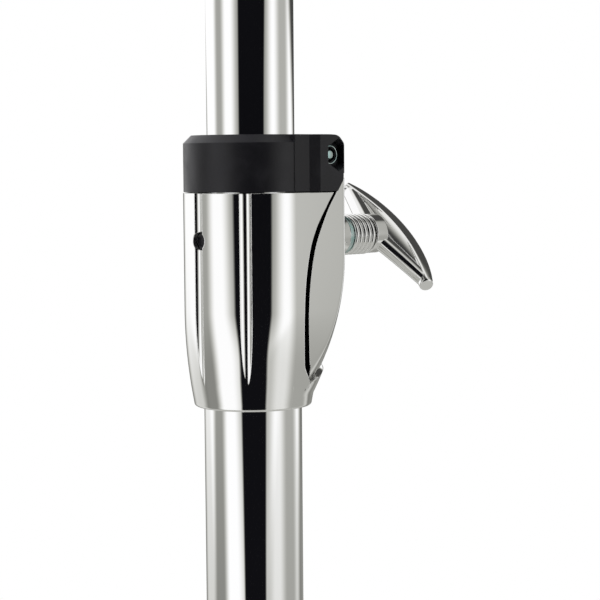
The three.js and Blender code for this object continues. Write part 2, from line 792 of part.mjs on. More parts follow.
// One leg with its two strips, brace strips, rivets and foot, built towards +X.
function leg(number) {
  const group = new THREE.Group();
  const stripMiddle = (legInnerWidth + stripThickness) / 2;
  const braceMiddle = (braceInnerWidth + stripThickness) / 2;
  for (const [sideName, side] of [["left", 1], ["right", -1]]) {
    const bar = strip(legLength, legStripWidth, stripThickness, braceLength);
    bar.translate(0, side * stripMiddle, 0);
    const whole = geometryOf(joined(bar, stripHead(side)));
    const mesh = named(`leg_${number}_${sideName}_strip`, whole, chrome);
    mesh.position.set(pivotRadius, 0, legPivotHeight);
    mesh.rotation.y = quarterTurn - legSpread;
    group.add(mesh);
    const brace = link(braceLength, braceStripWidth, stripThickness);
    const braceMesh = named(`brace_${number}_${sideName}_strip`, brace, chrome);
    braceMesh.position.set(pivotRadius, side * braceMiddle, bracePivotHeight);
    braceMesh.rotation.y = legSpread - quarterTurn;
    group.add(braceMesh);
  }
  const mid = named(`leg_${number}_brace_rivet`, rivet(legOuterHalf), zinc);
  mid.position.set(midPivotRadius, 0, midPivotHeight);
  const low = named(`brace_${number}_collar_rivet`, rivet(braceOuterHalf), zinc);
  low.position.set(pivotRadius, 0, bracePivotHeight);
  const pinHalf = legInnerWidth / 2 - slideGap;
  const pin = rod(rivetRadius, -pinHalf, pinHalf, tinySegments).rotateX(quarterTurn);
  const top = named(`leg_${number}_collar_pin`, pin, zinc);
  top.position.set(pivotRadius, 0, legPivotHeight);
  const endRadius = pivotRadius + legLength * Math.sin(legSpread);
  group.add(mid, low, top, foot(`foot_${number}`, endRadius));
  return group;
}

function tripod() {
  const group = new THREE.Group();
  const braceTongue = braceInnerWidth / 2 - tongueGap;
  const legTongue = legInnerWidth / 2 - tongueGap;
  const braceBottom = bracePivotHeight - braceCollarHeight / 2;
  const fixed = collar(braceBottom, braceCollarHeight, bracePivotHeight, braceTongue, rivetRadius + slideGap);
  const legBottom = legPivotHeight - legCollarHeight + legCollarPivotDrop;
  const sliding = collar(legBottom, legCollarHeight, legPivotHeight, legTongue, rivetRadius + slideGap);
  const legTop = legBottom + legCollarHeight;
  const screwHeight = legTop - legScrewDrop;
  const nose = rod(noseRoot, 0, collarNoseReach).rotateY(quarterTurn).translate(0, 0, screwHeight);
  const boltHole = rod(boltRadius + turnGap, 0, collarNoseReach + cutOverrun).rotateY(quarterTurn);
  const withNose = cut(
    sliding.add(solidOf(nose)),
    rod(baseTubeRadius + slideGap, legBottom - cutOverrun, legTop + cutOverrun, roundSegments),
    boltHole.translate(0, 0, screwHeight),
  );
  group.add(named("brace_collar", geometryOf(fixed), chrome));
  group.add(named("leg_collar", geometryOf(withNose), chrome));
  group.add(clampScrew("leg_collar", baseTubeRadius + seatGap, collarNoseReach, screwHeight, collarWingTurn));
  legAngles().forEach((angle, i) => {
    const turnedLeg = leg(i + 1);
    turnedLeg.rotation.z = angle;
    group.add(turnedLeg);
  });
  return group;
}

// Tilter, rod, felts and wing nut, with the pivot's height as zero.
function tilter() {
  const group = new THREE.Group();
  const socketRadius = topTubeRadius + tilterWall;
  const socketTop = -tilterDiscRadius - 2 * seatGap;
  const socketBottom = -tilterPivotRise - tilterSocketLength;
  const socket = turned([
    [topTubeRadius + slideGap, socketBottom],
    [socketRadius, socketBottom],
    [socketRadius, socketTop - tilterWall],
    [socketRadius - tilterWall, socketTop],
    [0, socketTop],
    [0, -tilterPivotRise],
    [topTubeRadius + slideGap, -tilterPivotRise],
    [topTubeRadius + slideGap, socketBottom],
  ]);
  const tongueDisc = rod(tilterDiscRadius, -tilterTongueHalf, tilterTongueHalf, roundSegments);
  const tongueStem = block(
    [-tilterDiscRadius / 2, -tilterTongueHalf, -tilterPivotRise + slideGap],
    [tilterDiscRadius / 2, tilterTongueHalf, 0],
  );
  const hole = rod(tilterScrewRadius + turnGap, -socketRadius, socketRadius, tinySegments).rotateX(quarterTurn);
  const base = cut(joined(socket, tongueDisc.rotateX(quarterTurn), tongueStem), hole);
  group.add(named("tilter_base", geometryOf(base), chrome));

  const earInner = tilterTongueHalf + seatGap;
  const earOuter = earInner + tilterEarThickness;
  const bridgeTop = tilterBridgeRise + tilterBridgeHeight;
  const ears = [-1, 1].map((side) => {
    const disc = rod(tilterDiscRadius, earInner, earOuter, roundSegments).rotateX(-side * quarterTurn);
    const low = side > 0 ? earInner : -earOuter;
    const stem = block([-tilterDiscRadius, low, 0], [tilterDiscRadius, low + tilterEarThickness, bridgeTop]);
    return [disc, stem];
  }).flat();
  const bridge = block(
    [-tilterDiscRadius, -earOuter, tilterBridgeRise],
    [tilterDiscRadius, earOuter, bridgeTop],
  );
  const rodHole = rod(rodRadius + slideGap, tilterBridgeRise + rodSocketFloor, bridgeTop + cutOverrun);
  group.add(named("tilter_head", geometryOf(cut(joined(...ears, bridge), hole, rodHole)), chrome));

  const screwTip = -earOuter - tilterHeadLength;
  const spacerEnd = earOuter + tilterWingReach;
  const screw = wingScrew("tilter_wing_screw", tilterScrewRadius, screwTip, spacerEnd + seatGap);
  const spacer = ring(tilterScrewRadius + seatGap, washerRadius, earOuter + slideGap, spacerEnd, smallSegments);
  const nut = hexNut(tilterScrewRadius, tilterHeadRadius, screwTip, -earOuter - slideGap);
  const screwGroup = new THREE.Group();
  screwGroup.rotation.x = -quarterTurn;
  screwGroup.add(screw);
  screwGroup.add(named("tilter_washer", spacer, zinc));
  screwGroup.add(named("tilter_nut", nut, zinc));
  group.add(screwGroup);

  const rodFoot = tilterBridgeRise + rodSocketFloor + slideGap;
  group.add(named("cymbal_rod", rod(rodRadius, rodFoot, rodFoot + rodLength), zinc));
  const seat = bridgeTop + seatRise;
  const seatShape = turned([
    [rodRadius + slideGap, bridgeTop + slideGap],
    [seatHubRadius, bridgeTop + slideGap],
    [seatHubRadius, seat - seatThickness],
    [seatRadius, seat - seatThickness / 2],
    [seatRadius, seat],
    [rodRadius + slideGap, seat],
    [rodRadius + slideGap, bridgeTop + slideGap],
  ], roundSegments);
  group.add(named("cymbal_seat", seatShape, chrome));
  const sleeveOuter = rodRadius + slideGap + sleeveWall;
  const sleeve = ring(rodRadius + slideGap, sleeveOuter, seat + slideGap, seat + sleeveLength, smallSegments);
  group.add(named("cymbal_sleeve", sleeve, nylon));
  const lowerTop = seat + slideGap + lowerFeltHeight;
  const upperTop = lowerTop + slideGap + upperFeltHeight;
  group.add(named("lower_felt", feltDisc(sleeveOuter + seatGap, seat + slideGap, lowerTop), felt));
  group.add(named("upper_felt", feltDisc(sleeveOuter + seatGap, lowerTop + slideGap, upperTop), felt));
  group.add(wingNut("cymbal_wing_nut", seat + sleeveLength + slideGap));
  return group;
}

function feltDisc(bore, bottom, top) {
  return turned([
    [bore, bottom],
    [feltRadius - feltRound, bottom],
    [feltRadius, bottom + feltRound],
    [feltRadius, top - feltRound],
    [feltRadius - feltRound, top],
    [bore, top],
    [bore, bottom],
  ], roundSegments);
}

function wingNut(name, bottom) {
  const hub = turned([
    [0, bottom],
    [nutRadius, bottom],
    [nutRadius - nutTaper, bottom + nutHeight],
    [0, bottom + nutHeight],
  ], smallSegments);
  const wing = shapeOf([
    [0, bottom + nutTaper],
    [nutRadius, bottom + nutTaper],
    [nutWingSpan, bottom + nutHeight / 2],
    [nutWingSpan, bottom + nutWingRise],
    [nutWingSpan - nutWingThickness, bottom + nutWingRise],
    [nutRadius / 2, bottom + nutHeight / 2],
    [0, bottom + nutHeight / 2],
  ]);
  const right = sideSlab(wing, nutWingThickness);
  const left = right.clone().rotateZ(Math.PI);
  const bore = rod(rodRadius + slideGap, bottom - cutOverrun, bottom + nutWingRise + cutOverrun);
  return named(name, geometryOf(cut(joined(hub, right, left), bore)), chrome);
}

// The whole stand about the tubes' axis.
const lowerClamp = clampSizes(clampTop, baseTubeRadius, middleTubeRadius, 1);
const upperShare = topTubeRadius / middleTubeRadius;
const upperClampTop = middleTubeHead + clampBushLength * upperShare + 2 * slideGap;
const upperClamp = clampSizes(upperClampTop, middleTubeRadius, topTubeRadius, upperShare);

const stand = new THREE.Group();
stand.add(tube("base_tube", baseTubeRadius, baseTubeFoot, tubeHeadIn(lowerClamp)));
stand.add(tube("middle_tube", middleTubeRadius, middleTubeFoot, middleTubeHead));
stand.add(tube("top_tube", topTubeRadius, topTubeFoot, topTubeHead));
stand.add(endCap());
stand.add(tripod());
stand.add(clampGroup("lower", lowerClamp, lowerWingTurn));
stand.add(clampGroup("upper", upperClamp, upperWingTurn));
const head = tilter();
head.position.z = topTubeHead + tilterPivotRise + seatGap;
stand.add(head);

// The origin goes under the centre of the bounding box.
const middle = new THREE.Box3().setFromObject(stand, true).getCenter(new THREE.Vector3());
stand.position.set(-middle.x, -middle.y, 0);

const cymbalStand = new THREE.Group();
cymbalStand.add(stand);

export default cymbalStand;
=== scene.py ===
"""Dresses the straight cymbal stand: fine pieces, finishes, studio and camera.

Sizes are in millimetres in the classes and turn into metres when a piece is published.
"""

from __future__ import annotations

import json
import logging
import math
from collections.abc import Callable, Sequence
from dataclasses import dataclass
from enum import Enum

import bmesh
import bpy
from mathutils import Matrix, Vector, noise

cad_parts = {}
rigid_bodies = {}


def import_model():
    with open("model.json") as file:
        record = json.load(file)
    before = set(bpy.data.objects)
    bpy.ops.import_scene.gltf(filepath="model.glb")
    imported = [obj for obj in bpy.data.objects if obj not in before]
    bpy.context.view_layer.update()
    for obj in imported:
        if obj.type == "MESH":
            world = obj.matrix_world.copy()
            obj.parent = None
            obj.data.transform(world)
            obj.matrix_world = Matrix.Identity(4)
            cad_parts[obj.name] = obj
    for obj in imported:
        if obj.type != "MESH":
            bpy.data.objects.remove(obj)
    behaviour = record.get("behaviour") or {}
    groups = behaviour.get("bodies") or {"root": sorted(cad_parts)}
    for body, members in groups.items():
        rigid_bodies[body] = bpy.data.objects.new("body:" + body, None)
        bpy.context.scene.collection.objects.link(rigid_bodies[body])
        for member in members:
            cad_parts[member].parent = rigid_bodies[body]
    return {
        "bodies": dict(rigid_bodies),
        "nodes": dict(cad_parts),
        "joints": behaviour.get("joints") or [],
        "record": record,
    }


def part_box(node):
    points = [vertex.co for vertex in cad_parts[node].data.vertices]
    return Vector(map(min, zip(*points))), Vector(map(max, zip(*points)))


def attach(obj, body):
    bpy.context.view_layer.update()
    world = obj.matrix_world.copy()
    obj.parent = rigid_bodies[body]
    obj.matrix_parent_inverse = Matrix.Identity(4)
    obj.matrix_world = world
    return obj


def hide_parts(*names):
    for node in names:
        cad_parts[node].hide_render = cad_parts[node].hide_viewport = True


LOG = logging.getLogger("cymbal_stand")
MM = 0.001
TAU = math.tau
HALF_PI = math.pi / 2
# Points closer than this are one point
WELD = 1e-5
# How far a cutting tool reaches past what it cuts
OVERRUN = 5.0
# The gap that keeps seated pieces apart
TOUCH = 0.1
# The photographer's bearing from the stand, in degrees
PHOTO_BEARING = -40.0
# Height of the lower clamp's top, and how far the two clamps' wings are turned, in degrees
LOWER_TOP = 532.0
LOWER_TURN = 129.0
UPPER_TURN = 70.0
# Corners that turn less than this aren't rounded
LEAST_TURN = math.radians(15)
# The most of an edge that a rounding takes up
EDGE_SHARE = 0.48
# A bevel's least segments, and what it gains per millimetre
BEVEL_STEPS = 3
# The rays that soften an edge in a finish
EDGE_SAMPLES = 6
# The flat part of a coil's end, in turns, and its share of the pitch
FLAT_TURN = 0.45
FLAT_SHARE = 0.25
Outline = Sequence[tuple[float, float]]
Colour = tuple[float, float, float]
Station = Sequence[float]


class Slot(Enum):
    """The record's material slots."""

    CHROME = "chrome"
    ZINC = "zinc"
    NYLON = "nylon"
    RUBBER = "rubber"
    FELT = "felt"


class Cut(Enum):
    """What a boolean step does with its tool."""

    REMOVE = "DIFFERENCE"
    KEEP = "INTERSECT"
    ADD = "UNION"


# Shapes


def eased(outline: Outline, radius: float, closed: bool = True, steps: int = 5) -> list[tuple[float, float]]:
    """Rounds the corners of an outline.

    Args:
        outline: Corner points in order.
        radius: Radius of the rounding, drawn in where an edge is short.
        closed: Whether the last point joins the first.
        steps: Straight runs in each rounding.

    Returns:
        The outline with an arc at each corner.
    """
    points = [Vector(point) for point in outline]
    rounded: list[tuple[float, float]] = []
    for i, corner in enumerate(points):
        if not closed and i in (0, len(points) - 1):
            rounded.append(tuple(corner))
            continue
        before = points[i - 1] - corner
        after = points[(i + 1) % len(points)] - corner
        turn = math.pi - before.angle(after)
        if turn < LEAST_TURN:
            rounded.append(tuple(corner))
            continue
        reach = min(radius * math.tan(turn / 2), EDGE_SHARE * before.length, EDGE_SHARE * after.length)
        drawn = reach / math.tan(turn / 2)
        start = corner + before.normalized() * reach
        inward = (before.normalized() + after.normalized()).normalized()
        centre = corner + inward * (drawn / math.cos(turn / 2))
        first = start - centre
        sense = 1.0 if first.x * (corner - centre).y - first.y * (corner - centre).x > 0 else -1.0
        for k in range(steps + 1):
            spun = Matrix.Rotation(sense * turn * k / steps, 2) @ first
            rounded.append(tuple(centre + spun))
    return rounded


def oblong(inner: float, outer: float, low: float, high: float) -> list[tuple[float, float]]:
    """Lists a rectangle's corners, from its inner foot round to its inner head."""
    return [(inner, low), (outer, low), (outer, high), (inner, high)]


def oval(across: float, up: float, start: float, turn: float, steps: int) -> list[tuple[float, float]]:
    """Lists the points of an oval's arc about the origin.

    Args:
        across: Half width of the oval.
        up: Half height of the oval.
        start: Angle of the first point.
        turn: How far the arc turns.
        steps: Straight runs in the arc.

    Returns:
        The points, both ends among them.
    """
    angles = [start + turn * k / steps for k in range(steps + 1)]
    return [(across * math.cos(a), up * math.sin(a)) for a in angles]


def mirrored(stations: Sequence[Station]) -> list[Station]:
    """Mirrors a sweep's stations in X."""
    return [(-station[0], *station[1:]) for station in stations]


def circle_through(a: Vector, b: Vector, c: Vector) -> tuple[Vector, float]:
    """Finds the circle through three points.

    Args:
        a: First point.
        b: Second point.
        c: Third point.

    Returns:
        The centre and the radius.
    """
    d = 2 * (a.x * (b.y - c.y) + b.x * (c.y - a.y) + c.x * (a.y - b.y))
    aa, bb, cc = a.length_squared, b.length_squared, c.length_squared
    x = (aa * (b.y - c.y) + bb * (c.y - a.y) + cc * (a.y - b.y)) / d
    y = (aa * (c.x - b.x) + bb * (a.x - c.x) + cc * (b.x - a.x)) / d
    centre = Vector((x, y))
    return centre, (a - centre).length


def eased_min(a: float, b: float, blend: float) -> float:
    """Takes the smaller of two values with a soft change from one to the other."""
    h = max(blend - abs(a - b), 0.0) / blend
    return min(a, b) - h * h * blend / 4


class Form:
    """A mesh under construction, in millimetres, built with bmesh operators."""

    def __init__(self) -> None:
        """Starts empty."""
        self.bm = bmesh.new()

    def lathe(self, outline: Outline, steps: int = 96, closed: bool = True) -> Form:
        """Spins an outline about Z.

        Args:
            outline: Points of (radius, height).
            steps: Faces round the turn.
            closed: Whether the outline is a ring that doesn't touch the axis.

        Returns:
            This form.
        """
        new = bmesh.new()
        verts = [new.verts.new((radius, 0.0, height)) for radius, height in outline]
        edges = [new.edges.new(pair) for pair in zip(verts, verts[1:])]
        if closed:
            edges.append(new.edges.new((verts[-1], verts[0])))
        bmesh.ops.spin(
            new, geom=verts + edges, cent=(0, 0, 0), axis=(0, 0, 1), angle=TAU, steps=steps, use_merge=True
        )
        bmesh.ops.remove_doubles(new, verts=new.verts, dist=WELD)
        bmesh.ops.recalc_face_normals(new, faces=new.faces)
        return self._take(new)

    def rod(self, radius: float, low: float, high: float, steps: int = 48) -> Form:
        """Adds a round bar along Z between two heights."""
        return self.lathe(oblong(0, radius, low, high), steps, closed=False)
    def plate(self, outline: Outline, thickness: float, middle: float = 0.0, edge: float = 0.0) -> Form:
        """Gives an outline in X and Z a thickness along Y.

        Args:
            outline: Points of (x, z).
            thickness: How thick the plate is.
            middle: Y of its middle.
            edge: Width of the rounding on its rims.

        Returns:
            This form.
        """
        new = bmesh.new()
        verts = [new.verts.new((x, middle - thickness / 2, z)) for x, z in outline]
        face = new.faces.new(verts)
        out = bmesh.ops.extrude_face_region(new, geom=[face])
        moved = [item for item in out["geom"] if isinstance(item, bmesh.types.BMVert)]
        bmesh.ops.translate(new, verts=moved, vec=(0, thickness, 0))
        bmesh.ops.recalc_face_normals(new, faces=new.faces)
        if edge:
            rims = [e for e in new.edges if abs(e.verts[0].co.y - e.verts[1].co.y) < WELD]
            bmesh.ops.bevel(
                new,
                geom=rims,
                offset=edge,
                segments=BEVEL_STEPS + int(edge * BEVEL_STEPS),
                profile=0.5,
                affect="EDGES",
                material=-1,
                clamp_overlap=True,
            )
        return self._take(new)

    def box(self, low: Sequence[float], high: Sequence[float]) -> Form:
        """Adds a block between two corners.

        Args:
            low: Its lowest corner.
            high: Its highest corner.

        Returns:
            This form.
        """
        new = bmesh.new()
        size = Vector(high) - Vector(low)
        place = Matrix.Translation((Vector(high) + Vector(low)) / 2) @ Matrix.Diagonal((*size, 1))
        bmesh.ops.create_cube(new, size=1.0, matrix=place)
        return self._take(new)

    def loft(
        self, angles: Sequence[float], heights: Sequence[float], reach: Callable[[float, float], float]
    ) -> Form:
        """Extrudes a ring down through sections whose radius follows a rule.

        Args:
            angles: Where the ring's points lie about Z, in order.
            heights: Heights of the sections, in order.
            reach: The radius at an angle and a height.

        Returns:
            This form.
        """
        new = bmesh.new()

        def place(vert: bmesh.types.BMVert, angle: float, height: float) -> None:
            """Puts a point of the ring where the rule says."""
            radius = reach(angle, height)
            vert.co = (radius * math.cos(angle), radius * math.sin(angle), height)

        ring = [new.verts.new() for _ in angles]
        for vert, angle in zip(ring, angles):
            place(vert, angle, heights[0])
        new.faces.new(ring)
        edges = list(new.edges)
        for height in heights[1:]:
            out = bmesh.ops.extrude_edge_only(new, edges=edges)
            edges = [item for item in out["geom"] if isinstance(item, bmesh.types.BMEdge)]
            for vert in (item for item in out["geom"] if isinstance(item, bmesh.types.BMVert)):
                place(vert, math.atan2(vert.co.y, vert.co.x), height)
        bmesh.ops.edgeloop_fill(new, edges=[e for e in edges if e.is_boundary])
        bmesh.ops.recalc_face_normals(new, faces=new.faces)
        return self._take(new)

    def coil(self, radius: float, wire: float, pitch: float, turns: float, sides: int = 14) -> Form:
        """Winds a round wire about Z, with the end turns lying flat.

        Args:
            radius: Radius of the coil at the wire's centre.
            wire: Radius of the wire.
            pitch: Climb of a middle turn.
            turns: Turns in all, with half a flat one at each end.
            sides: Faces round the wire.

        Returns:
            This form.
        """
        new = bmesh.new()
        out = bmesh.ops.create_circle(new, cap_ends=True, radius=wire, segments=sides)
        verts = out["verts"]
        upright = Matrix.Translation((radius, 0, 0)) @ Matrix.Rotation(HALF_PI, 4, "X")
        bmesh.ops.transform(new, matrix=upright, verts=verts)
        geom = verts + list(new.edges) + list(new.faces)
        steps = 40
        ground = (FLAT_TURN, FLAT_SHARE * pitch)
        rows = (ground, (turns - 2 * FLAT_TURN, pitch), ground)
        for turn, climb in rows:
            count = max(2, round(turn * steps))
            out = bmesh.ops.spin(
                new,
                geom=geom,
                cent=(0, 0, 0),
                axis=(0, 0, 1),
                dvec=(0, 0, climb / steps),
                angle=TAU * count / steps,
                steps=count,
            )
            geom = out["geom_last"]
        bmesh.ops.remove_doubles(new, verts=new.verts, dist=WELD)
        bmesh.ops.recalc_face_normals(new, faces=new.faces)
        return self._take(new)

    def sweep(self, stations: Sequence[Station], sides: int = 48) -> Form:
        """Runs a soft oblong through stations in the XZ plane, with a flat end at the first and the last.

        Args:
            stations: Points of (x, z, half width in the plane, half thickness along Y, fullness), where a
                fullness of 1 gives an oval and a lower one a fuller shape with flatter sides.
            sides: Faces round the oblong.

        Returns:
            This form.
        """
        new = bmesh.new()
        last = len(stations) - 1
        place, fuller = Matrix(), 1.0
        edges: list[bmesh.types.BMEdge] = []
        for k, (x, z, wide, thick, full) in enumerate(stations):
            before, after = stations[max(k - 1, 0)], stations[min(k + 1, last)]
            way = Vector((after[0] - before[0], after[1] - before[1])).normalized()
            rows = ((-way.y * wide, 0, way.x, x), (0, thick, 0, 0), (way.x * wide, 0, way.y, z), (0, 0, 0, 1))
            target = Matrix(rows)
            if not edges:
                verts = bmesh.ops.create_circle(new, cap_ends=True, radius=1.0, segments=sides)["verts"]
                edges = list(new.edges)
            else:
                out = bmesh.ops.extrude_edge_only(new, edges=edges)
                edges = [item for item in out["geom"] if isinstance(item, bmesh.types.BMEdge)]
                verts = [item for item in out["geom"] if isinstance(item, bmesh.types.BMVert)]
            back = place.inverted()
            for vert in verts:
                spot = back @ vert.co
                ways = (math.copysign(abs(value) ** (full / fuller), value) for value in (spot.x, spot.y))
                vert.co = target @ Vector((*ways, 0.0))
            place, fuller = target, full
        bmesh.ops.edgeloop_fill(new, edges=[e for e in edges if e.is_boundary])
        bmesh.ops.recalc_face_normals(new, faces=new.faces)
        return self._take(new)

    def moved(self, matrix: Matrix) -> Form:
        """Moves the whole form.

        Args:
            matrix: The move, which may mirror.

        Returns:
            This form.
        """
        bmesh.ops.transform(self.bm, matrix=matrix, verts=self.bm.verts)
        if matrix.determinant() < 0:
            bmesh.ops.reverse_faces(self.bm, faces=self.bm.faces)
        return self

    def shifted(self, x: float = 0.0, y: float = 0.0, z: float = 0.0) -> Form:
        """Shifts the whole form."""
        return self.moved(Matrix.Translation((x, y, z)))

    def spun(self, angle: float, axis: str) -> Form:
        """Turns the whole form about an axis through the origin."""
        return self.moved(Matrix.Rotation(angle, 4, axis))

    def with_forms(self, *others: Form) -> Form:
        """Adds other closed shapes beside this one, in the same piece.

        Args:
            *others: The shapes, which are used up.

        Returns:
            This form.
        """
        for other in others:
            self._take(other.bm)
        return self

    def worked(self, cut: Cut, *tools: Form) -> Form:
        """Cuts or joins this form with others.

        Args:
            cut: What each tool does.
            *tools: The tools, which are used up.

        Returns:
            This form.
        """
        body = self._temporary("work", self.bm)
        held = [body]
        for i, tool in enumerate(tools):
            other = self._temporary(f"tool_{i}", tool.bm)
            step = body.modifiers.new(f"cut_{i}", "BOOLEAN")
            step.operation = cut.value
            step.solver = "MANIFOLD"
            step.object = other
            held.append(other)
        graph = bpy.context.evaluated_depsgraph_get()
        result = bpy.data.meshes.new_from_object(body.evaluated_get(graph))
        self.bm = bmesh.new()
        self.bm.from_mesh(result)
        bpy.data.meshes.remove(result)
        for item in held:
            mesh = item.data
            bpy.data.objects.remove(item)
            bpy.data.meshes.remove(mesh)
        return self

    @staticmethod
    def _temporary(name: str, bm: bmesh.types.BMesh) -> bpy.types.Object:
        """Makes an object of a bmesh.

        Args:
            name: The object's name.
            bm: Its shape, which is freed.

        Returns:
            The object, in the scene.
        """
        mesh = bpy.data.meshes.new(name)
        bm.to_mesh(mesh)
        bm.free()
        item = bpy.data.objects.new(name, mesh)
        bpy.context.scene.collection.objects.link(item)
        return item

    def _take(self, other: bmesh.types.BMesh) -> Form:
        """Adds another bmesh's shapes to this form.

        Args:
            other: The bmesh, which is freed.

        Returns:
            This form.
        """
        mesh = bpy.data.meshes.new("part")
        other.to_mesh(mesh)
        other.free()
        self.bm.from_mesh(mesh)
        bpy.data.meshes.remove(mesh)
        return self


# Finishes


@dataclass(frozen=True)
class Grain:
    """Soft noise on a piece's own coordinates, by its scale along each axis and its detail."""

    scale: tuple[float, float, float]
    detail: float = 3.0
    rough: float = 0.5


class Nodes:
    """Builds a node tree in a few words."""

    def __init__(self, tree: bpy.types.NodeTree) -> None:
        """Empties a tree to build in."""
        self.tree = tree
        tree.nodes.clear()

    def add(
        self, kind: str, inputs: dict[str | int, object] | None = None, **settings: object
    ) -> bpy.types.Node:
        """Adds a node.

        Args:
            kind: Its type.
            inputs: Values or other nodes' sockets for its inputs.
            **settings: Its own properties.

        Returns:
            The node.
        """
        node = self.tree.nodes.new(kind)
        for key, value in settings.items():
            setattr(node, key, value)
        self.feed(node, inputs or {})
        return node

    def feed(self, node: bpy.types.Node, inputs: dict[str | int, object]) -> None:
        """Fills a node's inputs.

        Args:
            node: The node.
            inputs: Values or other nodes' sockets, by the input's name or number.
        """
        for key, value in inputs.items():
            if isinstance(value, bpy.types.NodeSocket):
                self.tree.links.new(value, node.inputs[key])
            else:
                node.inputs[key].default_value = value

    def maths(self, operation: str, *values: object) -> bpy.types.NodeSocket:
        """Adds a Math node on the given values and returns its result."""
        return self.add("ShaderNodeMath", dict(enumerate(values)), operation=operation).outputs[0]

    def ramp(
        self, value: bpy.types.NodeSocket, low: float, high: float, to: tuple[float, float] = (0.0, 1.0)
    ) -> bpy.types.NodeSocket:
        """Maps a value smoothly from one range to another and clamps it."""
        inputs = {"Value": value, "From Min": low, "From Max": high, "To Min": to[0], "To Max": to[1]}
        return self.add("ShaderNodeMapRange", inputs, interpolation_type="SMOOTHSTEP").outputs["Result"]

    def grain(self, grain: Grain, bend: bpy.types.NodeSocket | None = None) -> bpy.types.NodeSocket:
        """Adds soft noise on object coordinates.

        Args:
            grain: Its scale and detail.
            bend: A shift of its coordinates, where it has one.

        Returns:
            The noise's value.
        """
        place = self.add("ShaderNodeTexCoord").outputs["Object"]
        where = self.add("ShaderNodeMapping", {"Vector": place, "Scale": grain.scale}).outputs["Vector"]
        if bend is not None:
            where = self.add("ShaderNodeVectorMath", {0: where, 1: bend}, operation="ADD").outputs[0]
        inputs = {"Vector": where, "Scale": 1.0, "Detail": grain.detail, "Roughness": grain.rough}
        return self.add("ShaderNodeTexNoise", inputs).outputs["Fac"]

    def mixed(self, share: bpy.types.NodeSocket, first: Colour, second: Colour) -> bpy.types.NodeSocket:
        """Mixes two colours by a share of the second."""
        inputs = {"Factor": share, "A": (*first, 1.0), "B": (*second, 1.0)}
        return self.add("ShaderNodeMix", inputs, data_type="RGBA").outputs["Result"]

    def softened(self, radius: float) -> bpy.types.NodeSocket:
        """Gives a normal that rounds edges by a radius."""
        return self.add("ShaderNodeBevel", {"Radius": radius * MM}, samples=EDGE_SAMPLES).outputs["Normal"]

    def raised(
        self, height: bpy.types.NodeSocket, by: float, normal: bpy.types.NodeSocket | None = None
    ) -> bpy.types.NodeSocket:
        """Gives a normal with a pattern raised on it.

        Args:
            height: The pattern.
            by: How high it stands, in millimetres.
            normal: The normal under it, where it isn't the surface's own.

        Returns:
            The normal.
        """
        inputs = {"Height": height, "Strength": 1.0, "Distance": by * MM}
        if normal is not None:
            inputs["Normal"] = normal
        return self.add("ShaderNodeBump", inputs).outputs["Normal"]


@dataclass(frozen=True)
class Finish:
    """What every finish has: a name, a slot and a base colour."""

    name: str
    slot: Slot
    colour: Colour

    def material(self) -> bpy.types.Material:
        """Gives the finish's material, which is made once.

        Returns:
            The material.
        """
        made = bpy.data.materials.get(self.name)
        if made is None:
            made = bpy.data.materials.new(self.name)
            made.use_nodes = True
            made.diffuse_color = (*self.colour, 1.0)
            nodes = Nodes(made.node_tree)
            shader = nodes.add("ShaderNodeBsdfPrincipled", {"Base Color": (*self.colour, 1.0)})
            self.dress(nodes, shader)
            nodes.add("ShaderNodeOutputMaterial", {"Surface": shader.outputs["BSDF"]})
        return made

    def dress(self, nodes: Nodes, shader: bpy.types.Node) -> None:
        """Adds the finish's own detail to its shader."""
        raise NotImplementedError


@dataclass(frozen=True)
class ChromePlate(Finish):
    """Bright chrome, with faint smears, and soft edges where it covers a casting."""

    polish: float = 0.03
    smear: float = 0.05
    edge: float = 0.0
    ripple: float = 0.0
    smears: Grain = Grain((60.0, 60.0, 16.0), 5.0, 0.62)
    smear_range: tuple[float, float] = (0.45, 0.8)
    waves: Grain = Grain((95.0, 95.0, 60.0), 1.0, 0.4)

    def dress(self, nodes: Nodes, shader: bpy.types.Node) -> None:
        """Adds smears to the gloss, and ripple and soft edges to the surface.

        Args:
            nodes: The material's tree.
            shader: Its main shader.
        """
        smears = nodes.grain(self.smears)
        gloss = nodes.ramp(smears, *self.smear_range, (self.polish, self.polish + self.smear))
        nodes.feed(shader, {"Metallic": 1.0, "Roughness": gloss})
        normal = nodes.softened(self.edge) if self.edge else None
        if self.ripple:
            normal = nodes.raised(nodes.grain(self.waves), self.ripple, normal)
        if normal is not None:
            nodes.feed(shader, {"Normal": normal})


@dataclass(frozen=True)
class ZincPlate(Finish):
    """Bright zinc with a faint cast that varies over the surface."""

    tint: Colour = (0.44, 0.66, 0.64)
    clouds: Grain = Grain((420.0, 420.0, 420.0))
    tint_range: tuple[float, float] = (0.35, 0.7)
    gloss_range: tuple[float, float] = (0.3, 0.75)
    gloss: tuple[float, float] = (0.16, 0.3)

    def dress(self, nodes: Nodes, shader: bpy.types.Node) -> None:
        """Adds cloudy tint and a satin gloss.

        Args:
            nodes: The material's tree.
            shader: Its main shader.
        """
        clouds = nodes.grain(self.clouds)
        tone = nodes.mixed(nodes.ramp(clouds, *self.tint_range), self.colour, self.tint)
        gloss = nodes.ramp(clouds, *self.gloss_range, self.gloss)
        nodes.feed(shader, {"Metallic": 1.0, "Base Color": tone, "Roughness": gloss})


